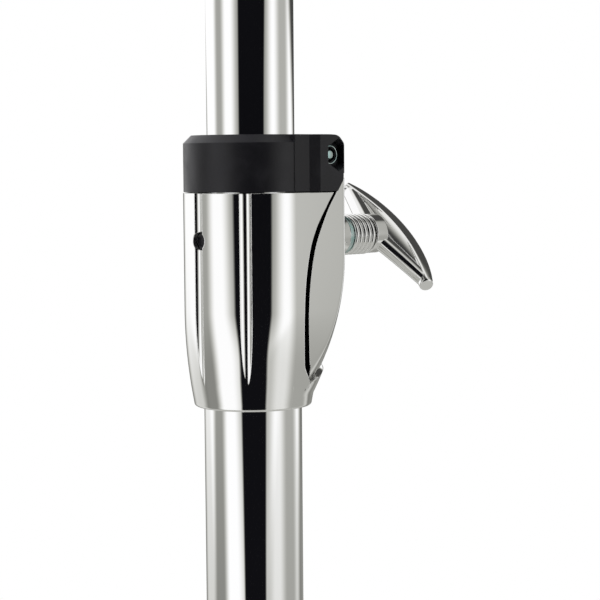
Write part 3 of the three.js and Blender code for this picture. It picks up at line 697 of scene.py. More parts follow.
@dataclass(frozen=True)
class Nylon(Finish):
    """Moulded black nylon with a fine grain and slightly worn high spots."""

    edge: float = 0.3
    shine: float = 0.4
    wear: float = 1.9
    clouds: Grain = Grain((140.0, 140.0, 140.0), 4.0)
    gloss_range: tuple[float, float] = (0.3, 0.75)
    gloss: tuple[float, float] = (0.32, 0.46)
    wear_range: tuple[float, float] = (0.45, 0.85)
    skin: Grain = Grain((3200.0, 3200.0, 3200.0), 2.0)
    skin_height: float = 0.012

    def dress(self, nodes: Nodes, shader: bpy.types.Node) -> None:
        """Adds moulding grain, cloudy gloss and soft edges.

        Args:
            nodes: The material's tree.
            shader: Its main shader.
        """
        clouds = nodes.grain(self.clouds)
        gloss = nodes.ramp(clouds, *self.gloss_range, self.gloss)
        worn = tuple(value * self.wear for value in self.colour)
        tone = nodes.mixed(nodes.ramp(clouds, *self.wear_range), self.colour, worn)
        normal = nodes.raised(nodes.grain(self.skin), self.skin_height, nodes.softened(self.edge))
        nodes.feed(
            shader,
            {"Specular IOR Level": self.shine, "Roughness": gloss, "Base Color": tone, "Normal": normal},
        )


@dataclass(frozen=True)
class Rubber(Finish):
    """Matt moulded rubber with dusty high spots."""

    dust: Colour = (0.06, 0.058, 0.056)
    matt: float = 0.78
    clouds: Grain = Grain((180.0, 180.0, 180.0), 6.0, 0.65)
    dust_range: tuple[float, float] = (0.5, 0.85)
    stipple: Grain = Grain((2400.0, 2400.0, 2400.0), 2.0)
    stipple_height: float = 0.03

    def dress(self, nodes: Nodes, shader: bpy.types.Node) -> None:
        """Adds a stippled skin and dust.

        Args:
            nodes: The material's tree.
            shader: Its main shader.
        """
        tone = nodes.mixed(nodes.ramp(nodes.grain(self.clouds), *self.dust_range), self.colour, self.dust)
        normal = nodes.raised(nodes.grain(self.stipple), self.stipple_height)
        nodes.feed(shader, {"Roughness": self.matt, "Base Color": tone, "Normal": normal})


@dataclass(frozen=True)
class WoolFelt(Finish):
    """Pressed wool with matted fibres."""

    light: Colour = (0.12, 0.115, 0.11)
    sheen: float = 0.35
    sheen_rough: float = 0.6
    warp: Grain = Grain((350.0, 350.0, 350.0))
    fibres: Grain = Grain((900.0, 900.0, 2600.0), 8.0, 0.7)
    fibre_range: tuple[float, float] = (0.42, 0.72)
    nap: float = 0.35

    def dress(self, nodes: Nodes, shader: bpy.types.Node) -> None:
        """Adds crossing fibres, their colour and their nap.

        Args:
            nodes: The material's tree.
            shader: Its main shader.
        """
        warp = nodes.grain(self.warp)
        bend = nodes.add("ShaderNodeCombineXYZ", {0: warp, 1: warp, 2: warp}).outputs[0]
        fibres = nodes.grain(self.fibres, bend)
        tone = nodes.mixed(nodes.ramp(fibres, *self.fibre_range), self.colour, self.light)
        sheen = {"Roughness": 1.0, "Sheen Weight": self.sheen, "Sheen Roughness": self.sheen_rough}
        nodes.feed(shader, sheen)
        nodes.feed(shader, {"Base Color": tone, "Normal": nodes.raised(fibres, self.nap)})


TUBE_CHROME = ChromePlate("tube_chrome", Slot.CHROME, (0.93, 0.93, 0.925), polish=0.02, smear=0.03)
CAST_CHROME = ChromePlate(
    "cast_chrome", Slot.CHROME, (0.92, 0.92, 0.91), polish=0.03, smear=0.05, edge=0.3, ripple=0.004
)
SCREW_CHROME = ChromePlate(
    "screw_chrome", Slot.CHROME, (0.90, 0.90, 0.89), polish=0.05, smear=0.06, edge=0.15
)
# Painted shade: a near-black finish for the faces inside the panel's groove, standing in for the shade in
# that recess
PAINTED_GROOVE_SHADE = ChromePlate(
    "painted_groove_shade", Slot.CHROME, (0.02, 0.02, 0.022), polish=0.35, smear=0.2, edge=0.0, ripple=0.01
)
DARK_STEEL = ZincPlate("dark_steel", Slot.ZINC, (0.02, 0.02, 0.022), tint=(0.035, 0.035, 0.04))
ZINC = ZincPlate("bright_zinc", Slot.ZINC, (0.66, 0.74, 0.73))
NYLON = Nylon("black_nylon", Slot.NYLON, (0.0055, 0.0052, 0.0072))
RUBBER = Rubber("black_rubber", Slot.RUBBER, (0.016, 0.016, 0.017))
FELT = WoolFelt("grey_felt", Slot.FELT, (0.035, 0.034, 0.033))


# The bench that pieces are published on


@dataclass
class Bench:
    """Keeps the frame and publishes finished pieces on its bodies."""

    frame: dict[str, object]
    axis_x: float

    @classmethod
    def opened(cls) -> Bench:
        """Loads the frame and finds the tubes' axis."""
        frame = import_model()
        low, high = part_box("base_tube")
        return cls(frame, (low[0] + high[0]) / 2 / MM)

    def publish(
        self,
        form: Form,
        name: str,
        finish: Finish,
        body: str,
        *nodes: str,
        crease: float = 34.0,
        trims: Sequence[tuple[Finish, Callable[[Vector], bool]]] = (),
    ) -> bpy.types.Object:
        """Makes a piece of a form that is placed about the tubes' axis.

        Args:
            form: The shape, in millimetres, with the axis at X zero.
            name: The piece's name.
            finish: Its finish.
            body: The body it rides on.
            *nodes: The solids it stands for.
            crease: Edges that turn by more degrees than this stay sharp.
            trims: Other finishes, each for the faces whose middle passes its test.

        Returns:
            The piece.
        """
        for face in form.bm.faces:
            middle = face.calc_center_median()
            face.material_index = next((i for i, (_, fits) in enumerate(trims, 1) if fits(middle)), 0)
        form.shifted(x=self.axis_x).moved(Matrix.Scale(MM, 4))
        for edge in form.bm.edges:
            edge.smooth = len(edge.link_faces) == 2 and edge.calc_face_angle(0.0) < math.radians(crease)
        for face in form.bm.faces:
            face.smooth = True
        mesh = bpy.data.meshes.new(name)
        form.bm.to_mesh(mesh)
        form.bm.free()
        for kind in (finish, *(trim for trim, _ in trims)):
            mesh.materials.append(kind.material())
        piece = bpy.data.objects.new(name, mesh)
        bpy.context.scene.collection.objects.link(piece)
        weighted = piece.modifiers.new("even_normals", "WEIGHTED_NORMAL")
        weighted.keep_sharp = True
        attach(piece, body)
        if nodes:
            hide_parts(*nodes)
        LOG.info("%s: %d faces on %s", name, len(mesh.polygons), body)
        return piece

    def keep(self, finish: Finish, *nodes: str) -> None:
        """Gives solids that stay as they are a finish of their own.

        Args:
            finish: The finish.
            *nodes: The solids' names.
        """
        for name in nodes:
            slots = self.frame["nodes"][name].data.materials
            slots.clear()
            slots.append(finish.material())


def tube_outline(
    outer: float, wall: float, foot: float, head: float, lip: float = 0.35
) -> list[tuple[float, float]]:
    """Draws half of a tube's section, with rounded lips."""
    return eased(oblong(outer - wall, outer, foot, head), lip, steps=4)


@dataclass
class TubeColumn:
    """The three tubes that slide in each other."""

    base_radius: float = 14.3
    wall: float = 1.2
    fit: float = 0.4
    base_foot: float = 25.0
    base_head: float = 507.8
    middle_foot: float = 112.0
    middle_head: float = 684.0
    top_foot: float = 232.0
    top_head: float = 812.0
    cap_skirt: float = 12.0
    cap_floor: float = 3.0
    cap_lip: float = 1.3
    cap_round: float = 0.9

    @property
    def middle_radius(self) -> float:
        """Outer radius of the middle tube."""
        return self.base_radius - self.wall - self.fit

    @property
    def top_radius(self) -> float:
        """Outer radius of the top tube."""
        return self.middle_radius - self.wall - self.fit

    def build(self, bench: Bench) -> None:
        """Publishes the tubes and the base tube's cap.

        Args:
            bench: Where pieces are published.
        """
        rows = (
            ("base_tube", "base", self.base_radius, self.base_foot, self.base_head),
            ("middle_tube", "middle_stage", self.middle_radius, self.middle_foot, self.middle_head),
            ("top_tube", "top_stage", self.top_radius, self.top_foot, self.top_head),
        )
        for node, body, radius, foot, head in rows:
            form = Form().lathe(tube_outline(radius, self.wall, foot, head), 160)
            bench.publish(form, f"{node}_plated", TUBE_CHROME, body, node)
        plug = self.base_radius - self.wall - TOUCH
        rim = self.base_radius + self.cap_lip
        under = self.base_foot - self.cap_floor
        skirt = self.base_foot + self.cap_skirt
        outline = [(0, under), (rim, under), (rim, self.base_foot), (plug, self.base_foot)]
        outline += [(plug, skirt), (0, skirt)]
        cap = Form().lathe(eased(outline, self.cap_round, closed=False), 96, closed=False)
        bench.publish(cap, "base_tube_cap", RUBBER, "base", "base_tube_end_cap")


@dataclass
class WingScrew:
    """A wing screw along Z, with its washer and spring."""

    shank: float = 4.0
    shank_bevel: float = 0.6
    hub: float = 6.0
    hub_length: float = 4.4
    hub_bevel: tuple[float, float] = (1.2, 0.9)
    hub_round: float = 0.45
    tip_radius: float = 2.2
    half_span: float = 23.4
    tip_reach: float = 8.0
    end_inset: tuple[float, float] = (0.7, 0.4)
    crown: float = 14.6
    crown_width: float = 5.2
    crown_flat: float = 0.52
    crown_steps: int = 24
    flank: float = 4.4
    flank_sink: float = 1.5
    flank_thin: float = 0.03
    flank_sharp: float = 0.7
    arm_slope: float = 33.0
    arm_slim: float = 0.3
    arm_thin: float = 0.15
    arm_gain: float = 0.45
    arm_full: float = 0.8
    arm_steps: int = 12
    shoulder: tuple[float, float] = (4.6, -1.0)
    shoulder_half: float = 3.1
    thickness: float = 5.4
    web: float = 1.2
    droop: float = 1.2
    rim: float = 0.5
    rim_steps: int = 4
    washer: float = 6.0
    washer_thickness: float = 1.7
    washer_fit: float = 0.3
    washer_round: float = 0.4
    stand_off: float = 0.3
    wire: float = 0.8
    spring_radius: float = 5.45
    spring_length: float = 9.0
    spring_turns: float = 5.0

    def wing(self, root: float) -> Form:
        """Shapes the two-armed wing: a bowed crown bar, two straight bars and a thin web between them.

        Args:
            root: Height of the wing's root on the screw.

        Returns:
            The wing, its span along X.
        """
        slope = math.radians(self.arm_slope)
        across = Vector((math.sin(slope), math.cos(slope))) * self.tip_radius
        end = Vector((self.half_span - self.end_inset[0], root + self.tip_reach - self.end_inset[1]))
        crown, flank = self._crown(root, end + across)
        arm = self._arm(root, end - across)
        first, last = self._cap(crown[0], crown[1]), self._cap(crown[-1], crown[-2])
        bars = Form().sweep([*first, *crown, *reversed(last)])
        edge = [station[:2] for station in arm[:-1]]
        outline = [station[:2] for station in crown[2:-2]][::-1] + [(-x, z) for x, z in reversed(edge)] + edge
        web = Form().plate(outline, self.web)
        bars.worked(Cut.ADD, Form().sweep(arm), Form().sweep(mirrored(arm)), Form().sweep(flank[1:-1]), web)
        for vert in bars.bm.verts:
            vert.co.y -= self.droop * (vert.co.x / self.half_span) ** 2
        return bars

    def _crown(self, root: float, outer: Vector) -> tuple[list[Station], list[Station]]:
        """Lays out the bowed crown bar and the softer flank under it.

        Args:
            root: Height of the wing's root.
            outer: Where the crown ends at the tip.

        Returns:
            The stations of the crown and those of the flank.
        """
        tip = self.tip_radius
        centre, radius = circle_through(Vector((-outer.x, outer.y)), Vector((0, root + self.crown)), outer)
        first = math.asin(outer.x / radius)
        crown: list[Station] = []
        flank: list[Station] = []
        for k in range(2 * self.crown_steps + 1):
            angle = first * (k / self.crown_steps - 1)
            share = 1 - (angle / first) ** 2
            wide = tip + (self.crown_width / 2 - tip) * share
            thick = tip + (self.thickness / 2 - tip) * share
            reach = radius - wide
            full = 1 - self.crown_flat * (1 - (angle / first) ** 6)
            crown.append((reach * math.sin(angle), centre.y + reach * math.cos(angle), wide, thick, full))
            reach -= self.flank_sink * share
            wide = tip - self.arm_slim + (self.flank - tip + self.arm_slim) * share
            thick -= self.flank_thin
            full = 1 + self.flank_sharp * share**0.5
            flank.append((reach * math.sin(angle), centre.y + reach * math.cos(angle), wide, thick, full))
        return crown, flank

    def _arm(self, root: float, inner: Vector) -> list[Station]:
        """Lays out the straight bar from the hub to a tip.

        Args:
            root: Height of the wing's root.
            inner: Where the bar's inner edge ends at the tip.

        Returns:
            The bar's stations.
        """
        tip = self.tip_radius
        near = Vector((self.shoulder[0], root + self.shoulder[1]))
        way = (inner - near).normalized()
        lift = Vector((-way.y, way.x))
        arm: list[Station] = []
        for k in range(self.arm_steps + 1):
            share = 1 - k / self.arm_steps
            wide = tip - self.arm_slim + (self.shoulder_half - tip + self.arm_slim) * share
            spot = near + (inner - near) * (k / self.arm_steps) + lift * wide
            arm.append((spot.x, spot.y, wide, tip - self.arm_thin + self.arm_gain * share, self.arm_full))
        return arm

    def _cap(self, last: Station, before: Station) -> list[Station]:
        """Rounds the rim of a bar's flat end.

        Args:
            last: The bar's end station.
            before: The station before it.

        Returns:
            Stations from the flat end inwards.
        """
        away = (Vector(last[:2]) - Vector(before[:2])).normalized()
        rows: list[Station] = []
        for k in range(self.rim_steps):
            angle = HALF_PI * k / self.rim_steps
            spot = Vector(last[:2]) + away * self.rim * math.cos(angle)
            shrink = self.rim * (1 - math.sin(angle))
            rows.append((spot.x, spot.y, last[2] - shrink, last[3] - shrink, last[4]))
        return rows

    def screw(self, tip: float, hub_start: float) -> Form:
        """Shapes the shank, the hub and the wing.

        Args:
            tip: Height of the shank's end.
            hub_start: Height where the hub starts.

        Returns:
            The screw along Z.
        """
        hub_end = hub_start + self.hub_length
        inset, rise = self.hub_bevel
        outline = [
            (0, tip),
            (self.shank - self.shank_bevel, tip),
            (self.shank, tip + self.shank_bevel),
            (self.shank, hub_start),
            (self.hub, hub_start),
            (self.hub, hub_end),
            (self.hub - inset, hub_end + rise),
            (0, hub_end + rise),
        ]
        body = Form().lathe(eased(outline, self.hub_round, closed=False, steps=4), 72, closed=False)
        return body.worked(Cut.ADD, self.wing(hub_end - self.tip_radius))

    def build(
        self, bench: Bench, prefix: str, place: Matrix, tip: float, nose: float, bodies: tuple[str, str]
    ) -> None:
        """Publishes the screw, its washer and its spring.

        Args:
            bench: Where pieces are published.
            prefix: Start of the pieces' names.
            place: Turns Z along the bolt and moves it to its height.
            tip: Where the shank ends, from the tubes' axis.
            nose: Where the casting's nose ends.
            bodies: The body of the washer and spring, and that of the screw.
        """
        washer = nose + self.stand_off
        spring = washer + self.washer_thickness + self.stand_off
        hub = spring + self.spring_length + self.stand_off
        outline = oblong(self.shank + self.washer_fit, self.washer, washer, washer + self.washer_thickness)
        ring = Form().lathe(eased(outline, self.washer_round, steps=4), 72).moved(place)
        bench.publish(ring, f"{prefix}_plated_washer", ZINC, bodies[0], f"{prefix}_washer")
        climbing = self.spring_turns - 2 * FLAT_TURN + 2 * FLAT_TURN * FLAT_SHARE
        climb = (self.spring_length - 2 * self.wire) / climbing
        coil = Form().coil(self.spring_radius, self.wire, climb, self.spring_turns)
        coil.shifted(z=spring + self.wire).moved(place)
        bench.publish(coil, f"{prefix}_wound_spring", SCREW_CHROME, bodies[0], f"{prefix}_spring")
        screw = self.screw(tip, hub).moved(place)
        bench.publish(screw, f"{prefix}_cast_wing", SCREW_CHROME, bodies[1], f"{prefix}_wing_screw")


def bolt_place(height: float, turn: float) -> Matrix:
    """Gives the place of a bolt that runs to +X at a height, with its wing turned by some degrees."""
    turned = Matrix.Rotation(math.radians(turn), 4, "X") @ Matrix.Rotation(HALF_PI, 4, "Y")
    return Matrix.Translation((0, 0, height)) @ turned


@dataclass
class HeightJoint:
    """A cast clamp round two tubes, with the nylon lock that sits on it.

    Lengths are the lower joint's, and share scales those that the upper joint has smaller.
    """

    prefix: str
    top: float
    outer_tube: float
    inner_tube: float
    turn: float
    bodies: tuple[str, str, str, str]
    share: float = 1.0
    wall: float = 5.4
    height: float = 62.0
    barrel_start: float = 34.0
    barrel_arc: float = 148.0
    rim: float = 0.9
    front: float = 27.1
    front_start: float = 18.3
    front_arc: float = 90.5
    panel_arc: float = 76.0
    panel_lap: float = 0.02
    corner: float = 0.4
    corner_gain: float = 1.4
    corner_start: float = 44.0
    corner_run: float = 12.0
    spans: Sequence[tuple[float, float, float]] = (
        (0.0, 36.0, 1.0), (36.0, 96.0, 0.3), (96.0, 128.0, 0.8), (128.0, 142.0, 0.2), (142.0, 173.0, 0.8),
        (173.0, 180.0, 0.2),
    )
    sections: tuple[int, int, int] = (6, 62, 8)
    bush_length: float = 24.0
    bush_wall: float = 2.8
    bolt_drop: float = 13.5
    bolt_hole: float = 4.2
    nose_root: float = 8.6
    nose_end: float = 6.4
    nose_length: float = 6.7
    nose_sink: float = 1.9
    nose_flare: float = 0.8
    nose_steps: int = 12
    fin: float = 4.0
    border: Outline = (
        (18.4, 4.0), (15.2, -0.6), (12.3, -4.9), (9.4, -10.6), (7.15, -16.3), (5.4, -24.8),
        (4.6, -34.2), (4.8, -41.9), (5.5, -49.5), (6.7, -54.7),
    )
    border_steps: int = 6
    ledge: tuple[float, float] = (9.2, 2.8)
    groove: Sequence[float] = (0.7, 0.9, 1.0, 1.7, 1.8, 1.7, 1.6, 1.8, 1.9, 0.15)
    groove_depth: float = 2.2
    groove_lap: float = 0.2
    groove_foot: float = 57.0
    groove_margin: float = 1.0
    groove_near: float = 0.08
    flute_shares: tuple[float, ...] = (0.75, 1.0, -0.75, -1.0)
    flute_half: float = 1.7
    flute_depth: float = 1.0
    flute_follow: float = 0.29
    flute_floor: float = 0.15
    flute_edge: float = 0.06
    peg_hole: float = 2.6
    lock_height: float = 16.2
    lock_chamfer: float = 2.3
    lock_inset: float = 0.12
    lock_ramp: tuple[float, float, float] = (-0.2, 5.1, 8.1)
    lock_ramp_sink: float = 0.05
    lock_past: float = 2.0
    lock_slope_shares: tuple[float, float] = (0.95, 0.75)
    lock_front_drop: float = 0.3
    lock_round: float = 2.2
    rib: float = 0.2
    rib_place: tuple[float, float] = (-0.35, 0.08)
    lock_slit: float = 2.2
    lock_fin_gap: float = 0.9
    lock_screw: float = 2.0
    lock_screw_drop: float = 5.8
    lock_screw_fit: float = 0.15
    lock_nut_across: float = 4.0
    lock_pocket: float = 5.6
    head_pocket: float = 3.6
    head_outline: Outline = ((0.0, 3.6), (2.2, 3.6), (3.4, 2.6), (3.4, 0.0))
    end_neck: float = 2.2
    end_outline: Outline = ((1.5, 3.0), (1.1, 3.4), (0.0, 3.5))
    slot_half: float = 0.5
    slot_floor: float = 2.3
    nut_height: float = 3.2
    nut_cone: Outline = ((0.0, -1.0), (6.2, -1.0), (6.2, 2.1))
    nut_bevel: tuple[float, float] = (0.75, 3.3)
    nut_rim: tuple[float, float, float, float] = (2.4, 2.7, 3.0, 3.45)
    nut_bright: float = 3.36
    pad: float = 1.55
    seat_gap: float = 0.3

    @property
    def half(self) -> float:
        """Half width of the casting."""
        return self.outer_tube + self.wall * self.share

    @property
    def reach(self) -> float:
        """Radius of the casting's front."""
        return self.front * self.share

    @property
    def nose_tip(self) -> float:
        """How far the nose reaches from the axis."""
        return self.reach + self.nose_length

    @property
    def bolt_height(self) -> float:
        """Height of the bolt, from the casting's top."""
        return -self.bolt_drop * self.share

    @property
    def bore(self) -> float:
        """Radius of the hole for the bush."""
        return self.inner_tube + self.bush_wall + TOUCH

    @property
    def lock_head(self) -> float:
        """Height of the lock's top, from the casting's top."""
        return self.seat_gap + self.lock_height * self.share

    def drop(self, depth: float, start: float, arc: float) -> float:
        """How far a barrel's surface has drawn in at a depth.

        Args:
            depth: The depth under the casting's top.
            start: Where the barrel starts to draw in.
            arc: Radius of its side profile.

        Returns:
            The distance.
        """
        below = depth - start * self.share
        arc *= self.share
        return arc - math.sqrt(arc * arc - below * below) if below > 0 else 0.0

    def section(self, arc: float) -> Callable[[float, float], float]:
        """Gives the rule for the casting's radius.

        Args:
            arc: Radius of the front barrel's side profile.

        Returns:
            A function of the angle and the height.
        """
        end = (self.height - self.rim) * self.share
        rim = self.rim * self.share
        least_sine = 0.02

        def radius(angle: float, height: float) -> float:
            """Gives the casting's radius at an angle and a height.

            Args:
                angle: The angle about Z.
                height: The height.

            Returns:
                The radius.
            """
            depth = -height
            inset = 0.0
            if depth > end:
                over = min((depth - end) / rim, 1.0)
                inset = rim * (1 - math.sqrt(1 - over * over))
                depth = end
            back = self.half - self.drop(depth, self.barrel_start, self.barrel_arc) - inset
            front = self.reach - self.drop(depth, self.front_start, arc) - inset
            if math.cos(angle) > 0:
                side = back / max(abs(math.sin(angle)), least_sine)
                softer = min(max(depth / self.share - self.corner_start, 0.0) / self.corner_run, 1.0)
                return eased_min(max(front, back), side, self.corner + self.corner_gain * softer)
            reach = back
            for share in self.flute_shares:
                turned = angle - math.pi * share
                off = math.hypot(self.half * math.sin(turned), self.flute_floor)
                if off < self.flute_half and math.cos(turned) > 0:
                    bowl = self.flute_depth * (1 - (off / self.flute_half) ** 2)
                    floor = bowl + self.flute_follow * (self.half - back)
                    reach = eased_min(reach, self.half - floor, self.flute_edge)
            return reach

        return radius

    def angles(self) -> list[float]:
        """Lists where the casting's section has points, close together where it turns.

        Returns:
            The angles about Z.
        """
        degrees: set[float] = set()
        for low, high, step in self.spans:
            degrees.update(round(low + k * step, 4) for k in range(round((high - low) / step)))
        both = sorted(degrees) + [-d for d in degrees if 0.0 < d < 180.0]
        return [math.radians(d) for d in sorted(set(both + [180.0]))]

    def heights(self, top: float) -> list[float]:
        """Lists the heights of the casting's sections.

        Args:
            top: The highest one.

        Returns:
            The heights from there down.
        """
        end = (self.height - self.rim) * self.share
        start = self.front_start * self.share
        upper, lower, rim = self.sections
        rows = [top] + [-start * k / upper for k in range(0 if top > 0 else 1, upper + 1)]
        rows += [-start - (end - start) * k / lower for k in range(1, lower + 1)]
        rows += [-end - self.rim * self.share * math.sin(HALF_PI * k / rim) for k in range(1, rim + 1)]
        return rows

    def border_curve(self, offsets: Sequence[float]) -> list[tuple[float, float]]:
        """Draws the panel's back border as a smooth curve, moved back by an offset at each point.

        Args:
            offsets: How far each border point moves back.

        Returns:
            Points from the fin down.
        """
        knots = [Vector(point) * self.share for point in self.border]
        knots = [2 * knots[0] - knots[1], *knots, 2 * knots[-1] - knots[-2]]
        shifts = [offsets[0], *offsets, offsets[-1]]
        steps = self.border_steps
        curve: list[tuple[float, float]] = []
        for i in range(1, len(knots) - 2):
            a, b, c, d = knots[i - 1 : i + 3]
            bend = 2 * a - 5 * b + 4 * c - d
            twist = 3 * b - a - 3 * c + d
            for k in range(steps + (i == len(knots) - 3)):
                t = k / steps
                point = 0.5 * (2 * b + (c - a) * t + bend * t * t + twist * t**3)
                slope = (c - a) + 2 * bend * t + 3 * twist * t * t
                away = Vector((slope.y, -slope.x)).normalized()
                shift = shifts[i] + (shifts[i + 1] - shifts[i]) * t
                curve.append(tuple(point + away * shift * self.share))
        return curve

    def panel_points(self, grow: float) -> list[tuple[float, float]]:
        """Draws the front panel from the side.

        Args:
            grow: How much larger than the panel the outline is.

        Returns:
            Its outline.
        """
        edge = self.border_curve([grow / self.share] * len(self.border))
        reach = self.reach + OVERRUN
        foot = edge[-1][1] + (reach - edge[-1][0]) * self.ledge[1] / self.ledge[0]
        return edge + [(reach, foot), (reach, edge[0][1] + grow), (edge[0][0], edge[0][1] + grow)]

    def groove_points(self) -> list[tuple[float, float]]:
        """Draws the crescent beside the panel from the side."""
        inner = self.border_curve([-self.groove_lap] * len(self.border))
        return self.border_curve(self.groove) + list(reversed(inner))

    def groove_shade_test(self) -> Callable[[Vector], bool]:
        """Gives a test for the faces inside the crescent of the placed casting, which get the painted shade.

        Returns:
            The test, which takes a face's middle.
        """
        offsets = ([0.0] * len(self.border), [-self.groove_lap] * len(self.border), self.groove)
        lines = [self.border_curve(row) for row in offsets]
        runs = [(Vector(a), Vector(b)) for line in lines for a, b in zip(line, line[1:])]
        floor = self.half - self.groove_depth
        front, back = self.border[0][0] - self.groove_margin, self.border[-4][0] - self.groove_margin
        level, skin, slack = 0.01, 0.03, 0.1

        def inside(point: Vector) -> bool:
            """Tells whether a point lies on the crescent's floor or its walls.

            Args:
                point: The point.

            Returns:
                True where it does.
            """
            off, depth = abs(point.y), self.top - point.z
            if abs(off - floor) < level:
                return back < point.x < front and depth < self.groove_foot
            surface = self.half - self.drop(depth, self.barrel_start, self.barrel_arc)
            if not floor < off < surface - skin:
                return False
            spot = Vector((point.x, -depth))
            for a, b in runs:
                if min(a.y, b.y) - slack <= spot.y <= max(a.y, b.y) + slack:
                    share = min(max((spot - a).dot(b - a) / (b - a).length_squared, 0.0), 1.0)
                    if (a + (b - a) * share - spot).length < self.groove_near:
                        return True
            return False

        return inside

    def nose(self) -> Form:
        """Shapes the flared nose that the bolt goes through.

        Returns:
            The nose.
        """
        wide = self.nose_root * self.share
        root = self.reach - self.nose_sink
        flare = [(0.0, 0.0), (wide, 0.0), (wide, root)]
        for k in range(1, self.nose_steps + 1):
            t = k / self.nose_steps
            flared = math.sin(t * HALF_PI) ** self.nose_flare
            flare.append((wide + (self.nose_end - wide) * flared, root + (self.nose_tip - root) * t))
        flare.append((0.0, self.nose_tip))
        return Form().lathe(flare, 72, closed=False).spun(HALF_PI, "Y").shifted(z=self.bolt_height)

    def casting(self) -> Form:
        """Shapes the clamp's casting.

        Returns:
            The casting.
        """
        width = 2 * (self.half + OVERRUN)
        angles = self.angles()
        body = Form().loft(angles, self.heights(0.0), self.section(self.front_arc))
        groove = self.groove_depth + OVERRUN
        side = self.half + (OVERRUN - self.groove_depth) / 2
        body.worked(
            Cut.REMOVE,
            Form().plate(self.panel_points(0.0), width),
            Form().plate(self.groove_points(), groove, side),
            Form().plate(self.groove_points(), groove, -side),
        )
        fin = self.fin * self.share
        panel = Form().loft(angles, self.heights(fin), self.section(self.panel_arc))
        panel.worked(Cut.KEEP, Form().plate(self.panel_points(self.panel_lap), width))
        body.worked(Cut.ADD, panel, self.nose())
        tube = self.outer_tube + TOUCH
        under = -self.height * self.share - OVERRUN
        shoulder = -self.bush_length * self.share - TOUCH
        over = fin + OVERRUN
        outline = [(0, under), (tube, under), (tube, shoulder), (self.bore, shoulder)]
        outline += [(self.bore, over), (0, over)]
        return body.worked(
            Cut.REMOVE,
            Form().lathe(outline, 128, closed=False),
            Form()
            .rod(self.bolt_hole, 0, self.nose_tip + OVERRUN)
            .spun(HALF_PI, "Y")
            .shifted(z=self.bolt_height),
            Form().rod(self.peg_hole, 0, self.half + OVERRUN).spun(-HALF_PI, "Y").shifted(z=self.bolt_height),
        )

    def lock_block(self) -> Form:
        """Shapes the lock's square front, which tapers back to its round half.

        Returns:
            The block.
        """
        s = self.share
        foot, head, cut = self.seat_gap, self.lock_head, self.lock_chamfer * self.share
        start, rise, full = self.lock_ramp
        ramp = [Vector(point) * s for point in ((start, 0.0), (rise, 0.0), (full, self.pad / s))]
        plan = [(point.x, self.half - self.lock_ramp_sink + point.y) for point in ramp]
        plan.append((self.reach + self.lock_past, self.half + self.pad))
        block = Form().plate(plan + [(x, -y) for x, y in reversed(plan)], head - foot)
        block.spun(HALF_PI, "X").shifted(z=(head + foot) / 2)
        down, back = (share * cut for share in self.lock_slope_shares)
        under = foot - 1
        outline = [(0, under), (self.reach, under), (self.reach, head - down - self.lock_front_drop)]
        outline += [(self.reach - back, head), (0, head)]
        hull = Form().lathe(eased(outline, self.lock_round, closed=False), 256, closed=False)
        return block.worked(Cut.KEEP, hull)

    def across(self, form: Form) -> Form:
        """Lays a form that stands on Z along the lock's cross screw."""
        along = self.inner_tube + TOUCH + self.lock_screw + self.seat_gap
        return form.spun(HALF_PI, "X").shifted(x=along, z=self.lock_head - self.lock_screw_drop * self.share)

    def lock(self) -> Form:
        """Shapes the nylon ring that is keyed over the casting's fin.

        Returns:
            The ring.
        """
        foot, head, cut = self.seat_gap, self.lock_head, self.lock_chamfer * self.share
        back = self.half - self.lock_inset
        outline = [(0, foot), (back, foot), (back, head - cut), (back - cut, head), (0, head)]
        ring = Form().lathe(outline, 144, closed=False)
        far = back + OVERRUN
        ring.worked(Cut.KEEP, Form().box((-far, -far, -OVERRUN), (TOUCH, far, head + OVERRUN)))
        ribs = []
        for side in (-1, 1):
            rib = Form().rod(self.rib, foot + self.seat_gap, head - cut, 16)
            ribs.append(rib.shifted(x=self.rib_place[0], y=side * (self.half - self.rib_place[1])))
        ring.worked(Cut.ADD, self.lock_block(), *ribs)
        end = self.half + OVERRUN
        pocket = self.half - self.lock_pocket
        corner = (self.lock_nut_across + TOUCH) / math.cos(math.pi / 6)
        return ring.worked(
            Cut.REMOVE,
            Form().rod(self.inner_tube + TOUCH, -OVERRUN, head + OVERRUN, 128),
            Form().plate(self.panel_points(self.lock_fin_gap), 2 * end),
            Form().box(
                (0, -self.lock_slit / 2, 0), (self.reach + OVERRUN, self.lock_slit / 2, head + OVERRUN)
            ),
            self.across(Form().rod(self.lock_screw + 2 * TOUCH, -end, end, 32)),
            self.across(Form().rod(corner, pocket, end, 6).spun(math.radians(30), "Z")),
            self.across(Form().rod(self.head_pocket, -end, -pocket)),
        )

    def lock_nut(self, seat: float) -> Form:
        """Shapes the lock's hex nut with its bright rim.

        Args:
            seat: How far from the middle the nut sits.

        Returns:
            The nut along Z.
        """
        corner = self.lock_nut_across / math.cos(math.pi / 6)
        hole = self.lock_screw + self.lock_screw_fit
        nut = Form().lathe(oblong(hole, corner, seat, seat + self.nut_height), 6).spun(math.radians(30), "Z")
        inset, top = self.nut_bevel
        cone = [(radius, seat + rise) for radius, rise in self.nut_cone]
        cone += [(corner - inset, seat + top), (0, seat + top)]
        nut.worked(Cut.KEEP, Form().lathe(cone, 48, closed=False))
        inner, outer, low, high = self.nut_rim
        return nut.with_forms(Form().lathe(eased(oblong(inner, outer, seat + low, seat + high), 0.1), 48))

